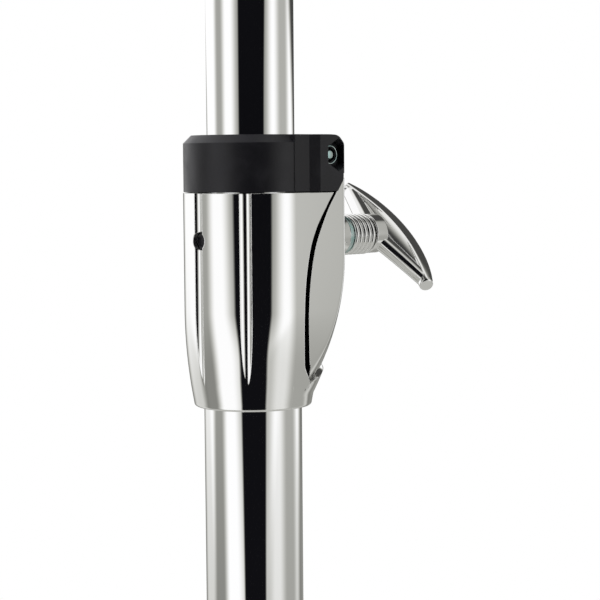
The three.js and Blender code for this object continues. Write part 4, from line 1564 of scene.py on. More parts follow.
    def lock_cross_screw(self, seat: float) -> Form:
        """Shapes the lock's slotted cross screw.

        Args:
            seat: How far from the middle its head sits.

        Returns:
            The screw along Z.
        """
        outline = [(radius, -seat - rise) for radius, rise in self.head_outline]
        outline += [(self.lock_screw, -seat), (self.lock_screw, seat + self.end_neck)]
        outline += [(radius, seat + rise) for radius, rise in self.end_outline]
        screw = Form().lathe(eased(outline, 0.3, closed=False, steps=3), 48, closed=False)
        low = (-OVERRUN, -self.slot_half, -seat - OVERRUN)
        return screw.worked(Cut.REMOVE, Form().box(low, (OVERRUN, self.slot_half, -seat - self.slot_floor)))

    def build(self, bench: Bench) -> None:
        """Publishes the joint's pieces.

        Args:
            bench: Where pieces are published.
        """
        holder, screw_body, lock_body, lock_screw_body = self.bodies
        clamp = f"{self.prefix}_clamp"
        # The groove's faces take a near-black finish as painted shade
        bench.publish(
            self.casting().shifted(z=self.top),
            f"{clamp}_casting",
            CAST_CHROME,
            holder,
            f"{clamp}_housing",
            trims=((PAINTED_GROOVE_SHADE, self.groove_shade_test()),),
        )
        bench.keep(NYLON, f"{clamp}_bush")
        place = bolt_place(self.top - self.bolt_drop * self.share, self.turn)
        tip = self.inner_tube + self.bush_wall + self.seat_gap
        WingScrew().build(bench, clamp, place, tip, self.nose_tip, (holder, screw_body))
        lock = f"{self.prefix}_memory_lock"
        ring = self.lock().shifted(z=self.top)
        bench.publish(ring, f"{lock}_collar", NYLON, lock_body, f"{lock}_ring", crease=25.0)
        rim_start = self.half - self.lock_pocket + self.nut_bright

        def on_rim(point: Vector) -> bool:
            """Tells whether a point of the placed nut lies on its bright rim."""
            return abs(point.y) > rim_start

        seat = self.half - self.lock_pocket + TOUCH
        nut = self.across(self.lock_nut(seat)).shifted(z=self.top)
        bench.publish(nut, f"{lock}_hex", DARK_STEEL, lock_body, f"{lock}_nut", trims=((ZINC, on_rim),))
        screw = self.across(self.lock_cross_screw(seat)).shifted(z=self.top)
        bench.publish(screw, f"{lock}_cross_screw", ZINC, lock_screw_body, f"{lock}_screw")


@dataclass
class Tripod:
    """The folding legs and braces with their two collars."""

    tube: float = 14.3
    pivot_radius: float = 34.0
    brace_pivot: float = 54.0
    leg_pivot: float = 228.28
    brace_length: float = 160.0
    leg_length: float = 398.0
    spread: float = 57.0
    leg_end: float = 11.518
    strip: float = 2.0
    strip_edge: float = 0.45
    leg_width: float = 15.0
    brace_width: float = 13.0
    leg_half: float = 8.9
    brace_half: float = 6.7
    wall: float = 4.2
    collar_round: float = 1.3
    tongue_gap: float = 0.4
    tongue_drop: float = 9.0
    tongue_waist: float = 3.0
    tongue_shares: tuple[float, float] = (0.55, 0.5)
    tongue_round: float = 3.6
    tongue_edge: float = 0.7
    brace_collar: tuple[float, float] = (39.0, 69.0)
    leg_collar: tuple[float, float] = (212.28, 248.28)
    screw_drop: float = 10.0
    screw_gap: float = 0.3
    nose: float = 26.0
    nose_root: float = 8.6
    nose_round: float = 0.8
    bolt_hole: float = 4.2
    wing_turn: float = 25.0
    pin: float = 2.5
    play: float = 0.15
    head: tuple[float, float] = (4.6, 2.2)
    head_inset: float = 0.2
    head_rise: float = 0.3
    head_flat_share: float = 0.86
    cap_rise: float = 0.4
    foot_width: float = 25.0
    foot_outline: Outline = (
        (-37.0, 0.0), (12.0, 0.0), (15.0, 3.0), (15.0, 6.0), (9.0, 19.0),
        (-6.0, 25.0), (-37.0, 31.0), (-40.0, 6.0),
    )
    foot_round: float = 3.5
    foot_edge: float = 2.2
    tread_start: float = -32.0
    tread_pitch: float = 7.6
    tread_width: float = 2.2
    tread_depth: float = 1.3
    treads: int = 6
    grip_start: float = -31.0
    grip_foot: float = 12.5
    grip_pitch: float = 4.0
    grip_depth: float = 0.5
    grips: int = 3
    slot_half: float = 1.3
    slot_gap: float = 0.3
    first_angle: float = 60.0
    count: int = 3

    def angles(self) -> list[float]:
        """Lists the legs' bearings about Z."""
        return [math.radians(self.first_angle) + i * TAU / self.count for i in range(self.count)]

    def collar(self, ends: tuple[float, float], pivot: float, half: float) -> Form:
        """Shapes a collar with a tongue towards each leg.

        Args:
            ends: Its bottom and top heights.
            pivot: Height of its pivots.
            half: Half width of its tongues.

        Returns:
            The collar without its bore.
        """
        outline = eased(oblong(0, self.tube + self.wall, *ends), self.collar_round, closed=False)
        body = Form().lathe(outline, 128, closed=False)
        root, drop = self.tube + self.wall / 2, self.tongue_drop
        waist, reach = self.pivot_radius - self.tongue_waist, self.pivot_radius + drop / 2
        waist_drop, end_drop = (share * drop for share in self.tongue_shares)
        side = [(root, pivot - drop), (waist, pivot - waist_drop), (reach, pivot - end_drop)]
        side += [(reach, pivot + end_drop), (waist, pivot + waist_drop), (root, pivot + drop)]
        side = eased(side, self.tongue_round, steps=6)
        tongues = [Form().plate(side, 2 * half, edge=self.tongue_edge).spun(a, "Z") for a in self.angles()]
        return body.worked(Cut.ADD, *tongues)

    def bored(self, form: Form, ends: tuple[float, float], pivot: float, half: float) -> Form:
        """Cuts the tube's bore and the pivots' holes into a collar.

        Args:
            form: The collar.
            ends: Its bottom and top heights.
            pivot: Height of its pivots.
            half: Half width of its tongues.

        Returns:
            The collar.
        """
        tools = [Form().rod(self.tube + TOUCH, ends[0] - OVERRUN, ends[1] + OVERRUN, 128)]
        for angle in self.angles():
            rod = Form().rod(self.pin + TOUCH, -half - OVERRUN, half + OVERRUN, 32)
            tools.append(rod.spun(HALF_PI, "X").shifted(x=self.pivot_radius, z=pivot).spun(angle, "Z"))
        return form.worked(Cut.REMOVE, *tools)

    def bar(
        self, length: float, width: float, middle: float, holes: Sequence[float], both_round: bool
    ) -> Form:
        """Shapes a flat bar along +X with a round end at its first pivot.

        Args:
            length: Distance to the other pivot or end.
            width: How wide the bar is.
            middle: Y of its middle.
            holes: Where its holes lie.
            both_round: Whether the far end is round as well.

        Returns:
            The bar.
        """
        r = width / 2
        near = oval(r, r, HALF_PI, math.pi, 24)
        far = [(length, -r), (length, r)]
        if both_round:
            far = [(length + x, z) for x, z in oval(r, r, -HALF_PI, math.pi, 24)]
        bar = Form().plate(near + far, self.strip, middle, edge=self.strip_edge)
        past = 4 * OVERRUN
        rods = [Form().rod(self.pin + self.play, -past, past, 36).spun(HALF_PI, "X") for _ in holes]
        return bar.worked(Cut.REMOVE, *(rod.shifted(x=x) for rod, x in zip(rods, holes)))

    def rivet(self, half: float) -> Form:
        """Shapes a rivet across Y with a domed head at each end.

        Args:
            half: Half of the width that it holds.

        Returns:
            The rivet.
        """
        seat = half + self.play
        wide, high = self.head
        top = [(self.pin, seat), (wide - self.head_inset, seat)]
        dome = oval(wide, high, 0.0, HALF_PI, 8)[:-1]
        top += [(x, seat + self.head_rise + self.head_flat_share * z) for x, z in dome]
        top.append((0, seat + high))
        outline = [(x, -z) for x, z in reversed(top)] + top
        return Form().lathe(outline, 48, closed=False).spun(HALF_PI, "X")

    def head_cap(self, side: int) -> Form:
        """Shapes the domed head at a leg bar's first pivot.

        Args:
            side: 1 for the left bar and -1 for the right one.

        Returns:
            The head.
        """
        wide, high = self.head
        base = self.leg_half + self.cap_rise
        outline = [(0, self.leg_half - self.strip / 2), (wide, self.leg_half - self.strip / 2), (wide, base)]
        outline += [(x, base + z) for x, z in oval(wide, high - self.cap_rise, 0.0, HALF_PI, 8)[1:-1]]
        outline.append((0, self.leg_half + high))
        return Form().lathe(outline, 48, closed=False).spun(-side * HALF_PI, "X")

    def foot(self) -> Form:
        """Shapes a leg's rubber boot, built towards +X.

        Returns:
            The boot.
        """
        end = self.pivot_radius + self.leg_length * math.sin(math.radians(self.spread))
        outline = eased([(end + x, z) for x, z in self.foot_outline], self.foot_round, steps=5)
        boot = Form().plate(outline, self.foot_width, edge=self.foot_edge)
        tools = []
        for k in range(self.treads):
            x = end + self.tread_start + self.tread_pitch * k
            high = (x + self.tread_width, self.foot_width, self.tread_depth)
            tools.append(Form().box((x, -self.foot_width, -1.0), high))
        for side in (-1, 1):
            rim = side * self.foot_width / 2
            for k in range(self.grips):
                z = self.grip_foot + self.grip_pitch * k
                far = end - self.grip_pitch - self.grip_pitch * k
                low = (end + self.grip_start, rim - self.grip_depth, z)
                tools.append(Form().box(low, (far, rim + self.grip_depth, z + self.tread_depth)))
        wide = self.leg_width / 2 + self.slot_gap
        for side in (-1, 1):
            low = (-self.leg_length, -self.slot_half, -wide)
            slot = Form().box(low, (self.slot_gap, self.slot_half, wide))
            slot.spun(math.radians(90 - self.spread), "Y")
            tools.append(slot.shifted(x=end, y=side * (self.leg_half - self.strip / 2), z=self.leg_end))
        return boot.worked(Cut.REMOVE, *tools)

    def build(self, bench: Bench) -> None:
        """Publishes the tripod's pieces.

        Args:
            bench: Where pieces are published.
        """
        half = self.brace_half - self.strip - self.tongue_gap
        fixed = self.collar(self.brace_collar, self.brace_pivot, half)
        fixed = self.bored(fixed, self.brace_collar, self.brace_pivot, half)
        bench.publish(fixed, "brace_collar_casting", CAST_CHROME, "base", "brace_collar")
        half = self.leg_half - self.strip - self.tongue_gap
        height = self.leg_collar[1] - self.screw_drop
        outline = eased(oblong(0, self.nose_root, 0, self.nose), self.nose_round, closed=False)
        nose = Form().lathe(outline, 72, closed=False).spun(HALF_PI, "Y").shifted(z=height)
        sliding = self.collar(self.leg_collar, self.leg_pivot, half).worked(Cut.ADD, nose)
        bolt = Form().rod(self.bolt_hole, 0, self.nose + OVERRUN)
        sliding.worked(Cut.REMOVE, bolt.spun(HALF_PI, "Y").shifted(z=height))
        sliding = self.bored(sliding, self.leg_collar, self.leg_pivot, half)
        bench.publish(sliding, "leg_collar_casting", CAST_CHROME, "leg_slider", "leg_collar")
        place = bolt_place(height, self.wing_turn)
        bodies = ("leg_slider", "leg_collar_screw")
        WingScrew().build(bench, "leg_collar", place, self.tube + self.screw_gap, self.nose, bodies)
        for i, angle in enumerate(self.angles(), 1):
            self.build_leg(bench, i, angle)

    def build_leg(self, bench: Bench, number: int, angle: float) -> None:
        """Publishes one leg and its brace.

        Args:
            bench: Where pieces are published.
            number: The leg's number.
            angle: Its bearing about Z.
        """
        lean = math.radians(90 - self.spread)
        leg, brace = f"leg_{number}", f"brace_{number}"
        for side_name, side in (("left", 1), ("right", -1)):
            middle = side * (self.leg_half - self.strip / 2)
            bar = self.bar(self.leg_length, self.leg_width, middle, [self.brace_length], False)
            bar.worked(Cut.ADD, self.head_cap(side))
            bar.spun(lean, "Y").shifted(x=self.pivot_radius, z=self.leg_pivot).spun(angle, "Z")
            bench.publish(bar, f"{leg}_{side_name}_bar", TUBE_CHROME, leg, f"{leg}_{side_name}_strip")
            middle = side * (self.brace_half - self.strip / 2)
            link = self.bar(self.brace_length, self.brace_width, middle, [0.0, self.brace_length], True)
            link.spun(-lean, "Y").shifted(x=self.pivot_radius, z=self.brace_pivot).spun(angle, "Z")
            bench.publish(link, f"{brace}_{side_name}_bar", TUBE_CHROME, brace, f"{brace}_{side_name}_strip")
        reach = self.pivot_radius + self.brace_length * math.cos(lean)
        height = self.brace_pivot + self.brace_length * math.sin(lean)
        mid = self.rivet(self.leg_half).shifted(x=reach, z=height).spun(angle, "Z")
        bench.publish(mid, f"{leg}_brace_pin", ZINC, leg, f"{leg}_brace_rivet")
        low = self.rivet(self.brace_half).shifted(x=self.pivot_radius, z=self.brace_pivot).spun(angle, "Z")
        bench.publish(low, f"{brace}_collar_pin", ZINC, "base", f"{brace}_collar_rivet")
        boot = self.foot().spun(angle, "Z")
        bench.publish(boot, f"foot_{number}_boot", RUBBER, leg, f"foot_{number}", crease=40.0)
        bench.keep(ZINC, f"{leg}_collar_pin")


@dataclass
class Tilter:
    """The tilter with the cymbal's rod, seat, sleeve, felts and nut."""

    pivot: float = 836.3
    tube: float = 11.1
    wall: float = 2.8
    rise: float = 24.0
    socket: float = 24.0
    disc: float = 12.5
    disc_edge: float = 0.6
    base_round: float = 0.8
    tongue: float = 5.0
    fork_gap: float = 0.3
    ear: float = 4.4
    ear_edge: float = 0.9
    bridge_gap: float = 2.5
    bridge: float = 7.0
    bridge_bevel: float = 2.5
    screw_radius: float = 3.0
    screw_fit: float = 0.2
    washer: float = 6.0
    washer_fit: float = 0.3
    washer_round: float = 0.4
    nut_corner: float = 5.4
    nut_length: float = 4.0
    nut_bevel: tuple[float, float] = (0.8, 1.0)
    reach: float = 3.0
    rod: float = 4.0
    rod_length: float = 88.0
    rod_floor: float = 2.8
    rod_bevel: float = 0.5
    rod_end: tuple[float, float, float] = (0.2, 0.6, 0.9)
    plain: float = 10.5
    plain_ends: float = 12.0
    pitch: float = 1.25
    thread_shares: tuple[float, float, float, float] = (0.62, 0.42, 0.5, 0.92)
    seat_radius: float = 16.0
    seat_hub: float = 7.6
    seat_thickness: float = 3.0
    seat_rise: float = 12.0
    seat_round: float = 0.6
    sleeve_wall: float = 1.6
    sleeve_length: float = 38.0
    felt: float = 20.0
    felt_height: float = 13.0
    felt_fit: float = 0.3
    felt_round: float = 2.5
    felt_uneven: tuple[float, float, float] = (0.22, 0.35, 0.6)
    nut_hub: Outline = ((0.0, 0.0), (7.0, 0.0), (5.4, 9.0), (0.0, 9.0))
    nut_round: float = 0.7
    nut_hole: float = 17.0
    paddle: Sequence[Station] = (
        (3.0, 3.4, 1.7, 1.6), (5.0, 3.6, 1.8, 1.65), (7.5, 4.4, 2.1, 1.7),
        (10.0, 5.6, 2.6, 1.7), (12.5, 6.9, 3.2, 1.65), (14.6, 7.8, 3.6, 1.55),
        (16.0, 8.2, 3.5, 1.4), (16.7, 8.3, 2.9, 1.1), (17.0, 8.3, 2.0, 0.6),
    )
    paddle_full: float = 0.75

    @property
    def outside(self) -> float:
        """Half width of the fork."""
        return self.tongue + self.fork_gap + self.ear

    @property
    def bridge_foot(self) -> float:
        """Height of the bridge's underside over the pivot."""
        return self.disc + self.bridge_gap

    def cross_hole(self) -> Form:
        """Shapes the tool for the cross screw's hole."""
        past = self.outside + 4 * OVERRUN
        return Form().rod(self.screw_radius + self.screw_fit, -past, past, 40).spun(HALF_PI, "X")

    def base(self) -> Form:
        """Shapes the base that sits on the top tube, with its tongue.

        Returns:
            The base.
        """
        outer, bore = self.tube + self.wall, self.tube + TOUCH
        top = -self.disc - self.disc_edge
        low = -self.rise - self.socket
        outline = [(0, -self.rise), (bore, -self.rise), (bore, low), (outer, low), (outer, top - self.wall)]
        outline += [(outer - self.wall, top), (0, top)]
        base = Form().lathe(eased(outline, self.base_round, closed=False), 112, closed=False)
        ring = oval(self.disc, self.disc, 0.0, TAU, 72)[:-1]
        stem = Form().box((-self.disc / 2, -self.tongue, -self.rise + TOUCH), (self.disc / 2, self.tongue, 0))
        base.worked(Cut.ADD, Form().plate(ring, 2 * self.tongue, edge=self.disc_edge), stem)
        return base.worked(Cut.REMOVE, self.cross_hole())

    def fork(self) -> Form:
        """Shapes the forked head that the rod stands in.

        Returns:
            The head.
        """
        high = self.bridge_foot + self.bridge
        cut = self.bridge_bevel
        arch = oval(self.disc, self.disc, math.pi, math.pi, 36)
        arch += [(self.disc, high - cut), (self.disc - cut, high)]
        arch += [(cut - self.disc, high), (-self.disc, high - cut)]
        head = Form().plate(arch, 2 * self.outside, edge=self.ear_edge)
        inner, past = self.tongue + self.fork_gap, 4 * OVERRUN
        gap = Form().box((-past, -inner, -past), (past, inner, self.bridge_foot))
        socket = Form().rod(self.rod + TOUCH, self.bridge_foot + self.rod_floor, high + OVERRUN)
        return head.worked(Cut.REMOVE, gap, self.cross_hole(), socket)

    def joint(self, bench: Bench) -> None:
        """Publishes the tilter's base, its forked head and its screw.

        Args:
            bench: Where pieces are published.
        """
        base = self.base().shifted(z=self.pivot)
        bench.publish(base, "tilter_base_casting", CAST_CHROME, "top_stage", "tilter_base")
        fork = self.fork().shifted(z=self.pivot)
        bench.publish(fork, "tilter_fork", CAST_CHROME, "tilt_head", "tilter_head")
        spacer = self.outside + self.reach
        tip = -self.outside - self.nut_length
        turned = Matrix.Translation((0, 0, self.pivot)) @ Matrix.Rotation(-HALF_PI, 4, "X")
        screw = WingScrew(shank=self.screw_radius).screw(tip, spacer + self.fork_gap).moved(turned)
        bench.publish(screw, "tilter_cast_wing", SCREW_CHROME, "tilt_screw", "tilter_wing_screw")
        ring = oblong(self.screw_radius + self.washer_fit, self.washer, self.outside + TOUCH, spacer)
        washer = Form().lathe(eased(ring, self.washer_round), 72).moved(turned)
        bench.publish(washer, "tilter_plated_washer", ZINC, "tilt_head", "tilter_washer")
        nut = Form().lathe(oblong(self.screw_radius + TOUCH, self.nut_corner, tip, -self.outside - TOUCH), 6)
        inset, rise = self.nut_bevel
        wide = self.nut_corner + rise
        cone = [(0, tip), (self.nut_corner - inset, tip), (wide, tip + rise), (wide, 0), (0, 0)]
        nut.worked(Cut.KEEP, Form().lathe(cone, 48, closed=False))
        bench.publish(nut.moved(turned), "tilter_hex", ZINC, "tilt_head", "tilter_nut")

    def threaded_rod(self) -> Form:
        """Shapes the rod with its thread's grooves.

        Returns:
            The rod.
        """
        foot = self.pivot + self.bridge_foot + self.rod_floor + TOUCH
        end = foot + self.rod_length
        depth, down, floor, up = (share * self.pitch for share in self.thread_shares)
        outline = [(0.0, foot), (self.rod - self.rod_bevel, foot), (self.rod, foot + self.rod_bevel)]
        for k in range(int((self.rod_length - self.plain_ends) / self.pitch)):
            z = foot + self.plain + k * self.pitch
            root = self.rod - depth
            outline += [(self.rod, z), (root, z + down), (root, z + floor), (self.rod, z + up)]
        rim, rise, inset = self.rod_end
        outline += [(self.rod - rim, end - rise), (self.rod - inset, end), (0.0, end)]
        return Form().lathe(outline, 56, closed=False)

    def top(self, bench: Bench) -> None:
        """Publishes the rod and what sits on it.

        Args:
            bench: Where pieces are published.
        """
        rod = self.threaded_rod()
        bench.publish(rod, "cymbal_threaded_rod", ZINC, "tilt_head", "cymbal_rod", crease=50.0)
        foot = self.pivot + self.bridge_foot + self.bridge
        seat = foot + self.seat_rise
        bore = self.rod + TOUCH
        under = seat - self.seat_thickness
        cup = [(bore, foot + TOUCH), (self.seat_hub, foot + TOUCH), (self.seat_hub, under)]
        cup += [(self.seat_radius, seat - self.seat_thickness / 2), (self.seat_radius, seat), (bore, seat)]
        turned = Form().lathe(eased(cup, self.seat_round), 112)
        bench.publish(turned, "cymbal_cup", TUBE_CHROME, "tilt_head", "cymbal_seat")
        outer = bore + self.sleeve_wall
        low = seat + TOUCH
        tube = oblong(bore, outer, low, seat + self.sleeve_length)
        sleeve = Form().lathe(eased(tube, self.washer_round), 72)
        bench.publish(sleeve, "cymbal_nylon_sleeve", NYLON, "tilt_head", "cymbal_sleeve")
        for name, body in (("lower_felt", "tilt_head"), ("upper_felt", "felt_stage")):
            pad = self.pad(outer + self.felt_fit, low)
            piece = bench.publish(pad, f"{name}_pad", FELT, body, name, crease=60.0)
            low += self.felt_height + TOUCH
        nut = self.wing_nut().shifted(z=seat + self.sleeve_length + TOUCH)
        bench.publish(nut, "cymbal_cast_nut", SCREW_CHROME, "cymbal_nut", "cymbal_wing_nut")

    def pad(self, bore: float, bottom: float) -> Form:
        """Shapes a felt with soft, slightly uneven sides.

        Args:
            bore: Radius of its hole.
            bottom: Height of its underside.

        Returns:
            The felt.
        """
        outline = oblong(bore, self.felt, bottom, bottom + self.felt_height)
        form = Form().lathe(eased(outline, self.felt_round, steps=8), 120)
        depth, scale, middle = self.felt_uneven
        for vert in form.bm.verts:
            reach = math.hypot(vert.co.x, vert.co.y)
            if reach > bore + 1.0:
                pull = depth * (noise.noise(vert.co * scale) - middle)
                vert.co.x += vert.co.x / reach * pull
                vert.co.y += vert.co.y / reach * pull
        return form

    def wing_nut(self) -> Form:
        """Shapes the nut that holds the felts down, standing on the origin.

        Returns:
            The nut.
        """
        hub = Form().lathe(eased(self.nut_hub, self.nut_round, closed=False), 72, closed=False)
        rows = [(*row, self.paddle_full) for row in self.paddle]
        hub.worked(Cut.ADD, Form().sweep(rows), Form().sweep(mirrored(rows)))
        return hub.worked(Cut.REMOVE, Form().rod(self.rod + TOUCH, -OVERRUN, self.nut_hole))

    def build(self, bench: Bench) -> None:
        """Publishes the tilter and the top."""
        self.joint(bench)
        self.top(bench)


# Studio and camera


@dataclass(frozen=True)
class Patch:
    """How wide and how bright a card is in one zone of height.

    The edges are in degrees from the photographer, positive to the right of the stand.
    """

    left: float
    right: float
    level: float


@dataclass(frozen=True)
class Card:
    """A dark or grey card round the stand that only shows in reflections."""

    soft: float
    level: Patch
    low: Patch
    high: Patch


@dataclass(frozen=True)
class Lamp:
    """A soft lamp, with its bearing from the photographer and its rise in degrees."""

    name: str
    bearing: float
    rise: float
    distance: float
    size: float
    power: float


@dataclass
class Studio:
    """A pale room with soft light and cards for the chrome."""

    bearing: float
    axis_x: float
    cards: tuple[Card, ...] = (
        Card(2.5, Patch(-31.0, 35.0, 0.012), Patch(-23.0, 26.0, 0.008), Patch(-30.0, 43.0, 0.014)),
        Card(12.0, Patch(-42.0, 48.0, 0.33), Patch(-27.0, 38.0, 0.6), Patch(-42.0, 52.0, 0.33)),
        Card(9.5, Patch(-103.0, -75.0, 0.36), Patch(-108.0, -68.0, 0.24), Patch(-103.0, -75.0, 0.36)),
        Card(12.0, Patch(75.0, 114.0, 0.42), Patch(72.0, 116.0, 0.48), Patch(75.0, 114.0, 0.42)),
        Card(13.0, Patch(146.0, 202.0, 0.06), Patch(126.0, 208.0, 0.3), Patch(112.0, 176.0, 0.06)),
        Card(10.0, Patch(90.0, 90.0, 1.0), Patch(26.0, 154.0, 0.74), Patch(90.0, 90.0, 1.0)),
        Card(10.0, Patch(-140.0, -140.0, 1.0), Patch(-178.0, -102.0, 0.62), Patch(-140.0, -140.0, 1.0)),
    )
    lamps: tuple[Lamp, ...] = (
        Lamp("key", -75.0, 50.0, 1.8, 1.2, 26.0),
        Lamp("fill", 60.0, 35.0, 2.0, 1.4, 14.0),
        Lamp("top", 170.0, 65.0, 1.8, 1.2, 12.0),
    )
    aim: float = 0.45
    low_zone: float = -0.3
    high_zone: float = 0.16
    white: float = 1.07
    sky: float = 0.9
    ceiling: float = 0.05
    ceiling_range: tuple[float, float] = (0.02, 0.22)
    sky_range: tuple[float, float] = (0.82, 0.93)
    ground: float = 0.5
    ground_range: tuple[float, float] = (-0.55, -0.75)
    warmth: float = 0.11
    cool: float = 0.004
    cool_least: float = 0.01
    floor_radius: float = 1.3
    floor_grey: float = 0.8
    floor_glow: float = 0.42
    eye_height: float = 0.5
    fill: float = 0.62

    def pattern(self, nodes: Nodes, direction: bpy.types.NodeSocket) -> bpy.types.NodeSocket:
        """Builds the brightness that a reflection sees in a direction.

        Args:
            nodes: The tree.
            direction: A direction from the stand.

        Returns:
            The brightness.
        """
        turn = math.radians(self.bearing)
        ahead = (math.sin(turn), -math.cos(turn), 0.0)
        right = (math.cos(turn), math.sin(turn), 0.0)
        unit = nodes.add("ShaderNodeVectorMath", {0: direction}, operation="NORMALIZE").outputs[0]
        across, towards = (
            nodes.add("ShaderNodeVectorMath", {0: unit, 1: way}, operation="DOT_PRODUCT").outputs["Value"]
            for way in (right, ahead)
        )
        angle = nodes.maths("DEGREES", nodes.maths("ARCTAN2", across, towards))
        rise = nodes.add("ShaderNodeSeparateXYZ", {0: unit}).outputs["Z"]
        low = nodes.ramp(rise, 0.0, self.low_zone)
        high = nodes.ramp(rise, 0.0, self.high_zone)

        def blended(level_value: float, low_value: float, high_value: float) -> bpy.types.NodeSocket:
            """Blends a card's value between the three zones."""
            value = nodes.maths("MULTIPLY_ADD", low, low_value - level_value, level_value)
            return nodes.maths("MULTIPLY_ADD", high, high_value - level_value, value)

        level: bpy.types.NodeSocket | float = self.white
        for card in self.cards:
            middle = (card.level.left + card.level.right) / 2
            zones = (card.level, card.low, card.high)
            turned = nodes.maths("WRAP", nodes.maths("SUBTRACT", angle, middle), 180.0, -180.0)
            left = nodes.maths("SUBTRACT", turned, blended(*(zone.left - middle for zone in zones)))
            right = nodes.maths("SUBTRACT", blended(*(zone.right - middle for zone in zones)), turned)
            shade = blended(*(zone.level for zone in zones))
            inside = nodes.ramp(nodes.maths("MINIMUM", left, right), -card.soft, card.soft)
            darker = nodes.maths("MULTIPLY", inside, nodes.maths("SUBTRACT", 1.0, shade))
            level = nodes.maths("MULTIPLY", nodes.maths("SUBTRACT", 1.0, darker), level)
        sky = nodes.ramp(towards, *self.ceiling_range, (self.sky, self.ceiling))
        for ends, tone in ((self.sky_range, sky), (self.ground_range, self.ground)):
            share = nodes.ramp(rise, *ends)
            level = nodes.add("ShaderNodeMix", {"Factor": share, "A": level, "B": tone}).outputs[0]
        return level

    def tinted(self, nodes: Nodes, level: bpy.types.NodeSocket) -> bpy.types.NodeSocket:
        """Gives greys a warm cast and darks a cool one.

        Args:
            nodes: The tree.
            level: The brightness.

        Returns:
            The colour to multiply it by.
        """
        lack = nodes.maths("SUBTRACT", 1.0, level)
        warm = nodes.maths("MULTIPLY_ADD", lack, -self.warmth, 1.0)
        cool = nodes.maths("DIVIDE", self.cool, nodes.maths("MAXIMUM", level, self.cool_least))
        blue = nodes.maths("ADD", warm, cool)
        return nodes.add("ShaderNodeCombineXYZ", {0: 1.0, 1: 1.0, 2: blue}).outputs[0]

    def build(self) -> None:
        """Sets the world, the floor and the lamps."""
        world = bpy.data.worlds.new("studio")
        bpy.context.scene.world = world
        world.use_nodes = True
        nodes = Nodes(world.node_tree)
        cards = self.pattern(nodes, nodes.add("ShaderNodeTexCoord").outputs["Generated"])
        path = nodes.add("ShaderNodeLightPath")
        glossy = path.outputs["Is Glossy Ray"]
        tone = nodes.add("ShaderNodeMix", {"Factor": glossy, "A": self.fill, "B": cards})
        plain = nodes.maths("MAXIMUM", path.outputs["Is Camera Ray"], path.outputs["Is Transmission Ray"])
        white = nodes.add("ShaderNodeMix", {"Factor": plain, "A": tone.outputs[0], "B": 1.0})
        casts = {"Factor": glossy, 4: (1, 1, 1), 5: self.tinted(nodes, cards)}
        tint = nodes.add("ShaderNodeMix", casts, data_type="VECTOR")
        back = nodes.add("ShaderNodeBackground", {"Color": tint.outputs[1], "Strength": white.outputs[0]})
        nodes.add("ShaderNodeOutputWorld", {"Surface": back.outputs[0]})
        self._floor()
        for lamp in self.lamps:
            self._light(lamp)

    def _light(self, lamp: Lamp) -> None:
        """Hangs a lamp that reflections don't show.

        Args:
            lamp: Where it hangs and how strong it is.
        """
        light = bpy.data.lights.new(lamp.name, "AREA")
        light.shape = "DISK"
        light.size = lamp.size
        light.energy = lamp.power
        made = bpy.data.objects.new(lamp.name, light)
        turn, up = math.radians(self.bearing + lamp.bearing), math.radians(lamp.rise)
        way = Vector((math.sin(turn) * math.cos(up), -math.cos(turn) * math.cos(up), math.sin(up)))
        made.location = way * lamp.distance + Vector((self.axis_x * MM, 0, self.aim))
        made.rotation_euler = (-way).to_track_quat("-Z", "Y").to_euler()
        made.visible_glossy = False
        bpy.context.scene.collection.objects.link(made)

    def _floor(self) -> None:
        """Lays a pale round floor that keeps the stand's shadow."""
        bm = bmesh.new()
        middle = Matrix.Translation((self.axis_x * MM, 0, 0))
        bmesh.ops.create_circle(bm, cap_ends=True, radius=self.floor_radius, segments=128, matrix=middle)
        mesh = bpy.data.meshes.new("floor")
        bm.to_mesh(mesh)
        bm.free()
        floor = bpy.data.objects.new("floor", mesh)
        bpy.context.scene.collection.objects.link(floor)
        made = bpy.data.materials.new("pale_floor")
        made.use_nodes = True
        nodes = Nodes(made.node_tree)
        grey = (self.floor_grey, self.floor_grey, self.floor_grey, 1)
        matt = nodes.add("ShaderNodeBsdfDiffuse", {"Color": grey})
        glow = nodes.add("ShaderNodeEmission", {"Color": (1, 1, 1, 1), "Strength": self.floor_glow})
        lit = nodes.add("ShaderNodeAddShader", {0: matt.outputs[0], 1: glow.outputs[0]})
        place = nodes.add("ShaderNodeTexCoord").outputs["Object"]
        eye = {0: place, 1: (self.axis_x * MM, 0, self.eye_height)}
        seen = self.pattern(nodes, nodes.add("ShaderNodeVectorMath", eye, operation="SUBTRACT").outputs[0])
        mirror = nodes.add("ShaderNodeEmission", {"Color": self.tinted(nodes, seen), "Strength": seen})
        path = nodes.add("ShaderNodeLightPath")
        plain = nodes.maths("MAXIMUM", path.outputs["Is Camera Ray"], path.outputs["Is Transmission Ray"])
        first = nodes.add("ShaderNodeMixShader", {0: plain, 1: matt.outputs[0], 2: lit.outputs[0]})
        ends = {0: path.outputs["Is Glossy Ray"], 1: first.outputs[0], 2: mirror.outputs[0]}
        whole = nodes.add("ShaderNodeMixShader", ends)
        nodes.add("ShaderNodeOutputMaterial", {"Surface": whole.outputs[0]})
        mesh.materials.append(made)


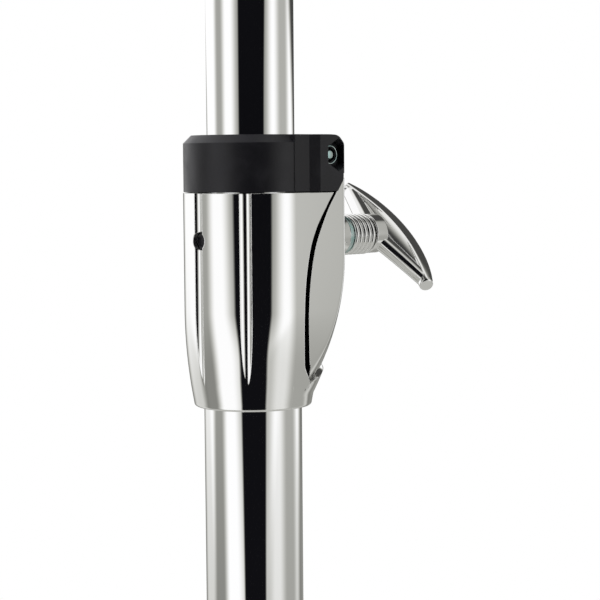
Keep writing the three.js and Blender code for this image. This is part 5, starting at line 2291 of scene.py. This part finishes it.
@dataclass
class PhotoCamera:
    """The close view of the lower height joint."""

    bearing: float = PHOTO_BEARING
    distance: float = 500.0
    height: float = 541.0
    pitch: float = 4.63
    yaw: float = 1.6
    roll: float = -0.44
    lens: float = 103.1
    sensor: float = 36.0
    clip: tuple[float, float] = (0.01, 50.0)

    def build(self, bench: Bench) -> None:
        """Makes the camera and sets it as the scene's.

        Args:
            bench: The bench, which knows where the stand's axis is.
        """
        data = bpy.data.cameras.new("photo_camera")
        data.lens = self.lens
        data.sensor_width = self.sensor
        data.clip_start, data.clip_end = self.clip
        camera = bpy.data.objects.new("photo_camera", data)
        turn = math.radians(self.bearing)
        away = Vector((math.sin(turn), -math.cos(turn), 0))
        place = Vector((bench.axis_x, 0, self.height)) + self.distance * away
        camera.location = place * MM
        camera.rotation_mode = "XYZ"
        matrix = (
            Matrix.Rotation(turn - math.radians(self.yaw), 4, "Z")
            @ Matrix.Rotation(HALF_PI - math.radians(self.pitch), 4, "X")
            @ Matrix.Rotation(math.radians(self.roll), 4, "Z")
        )
        camera.rotation_euler = matrix.to_euler()
        bpy.context.scene.collection.objects.link(camera)
        bpy.context.scene.camera = camera


def main() -> None:
    """Builds the whole scene in order."""
    logging.basicConfig(level=logging.INFO, format="%(name)s: %(message)s")
    bench = Bench.opened()
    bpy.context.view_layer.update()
    PhotoCamera().build(bench)
    bpy.context.scene.view_settings.view_transform = "Standard"
    tubes = TubeColumn()
    tubes.build(bench)
    bodies = ("base", "lower_clamp_screw", "lower_lock", "lower_lock_screw")
    lower = HeightJoint("lower", LOWER_TOP, tubes.base_radius, tubes.middle_radius, LOWER_TURN, bodies)
    lower.build(bench)
    share = tubes.top_radius / tubes.middle_radius
    upper_top = tubes.middle_head + HeightJoint.bush_length * share + 2 * TOUCH
    bodies = ("middle_stage", "upper_clamp_screw", "upper_lock", "upper_lock_screw")
    radii = (tubes.middle_radius, tubes.top_radius)
    HeightJoint("upper", upper_top, *radii, UPPER_TURN, bodies, share).build(bench)
    Tripod().build(bench)
    Tilter().build(bench)
    Studio(bearing=PHOTO_BEARING, axis_x=bench.axis_x).build()


if __name__ == "__main__":
    main()
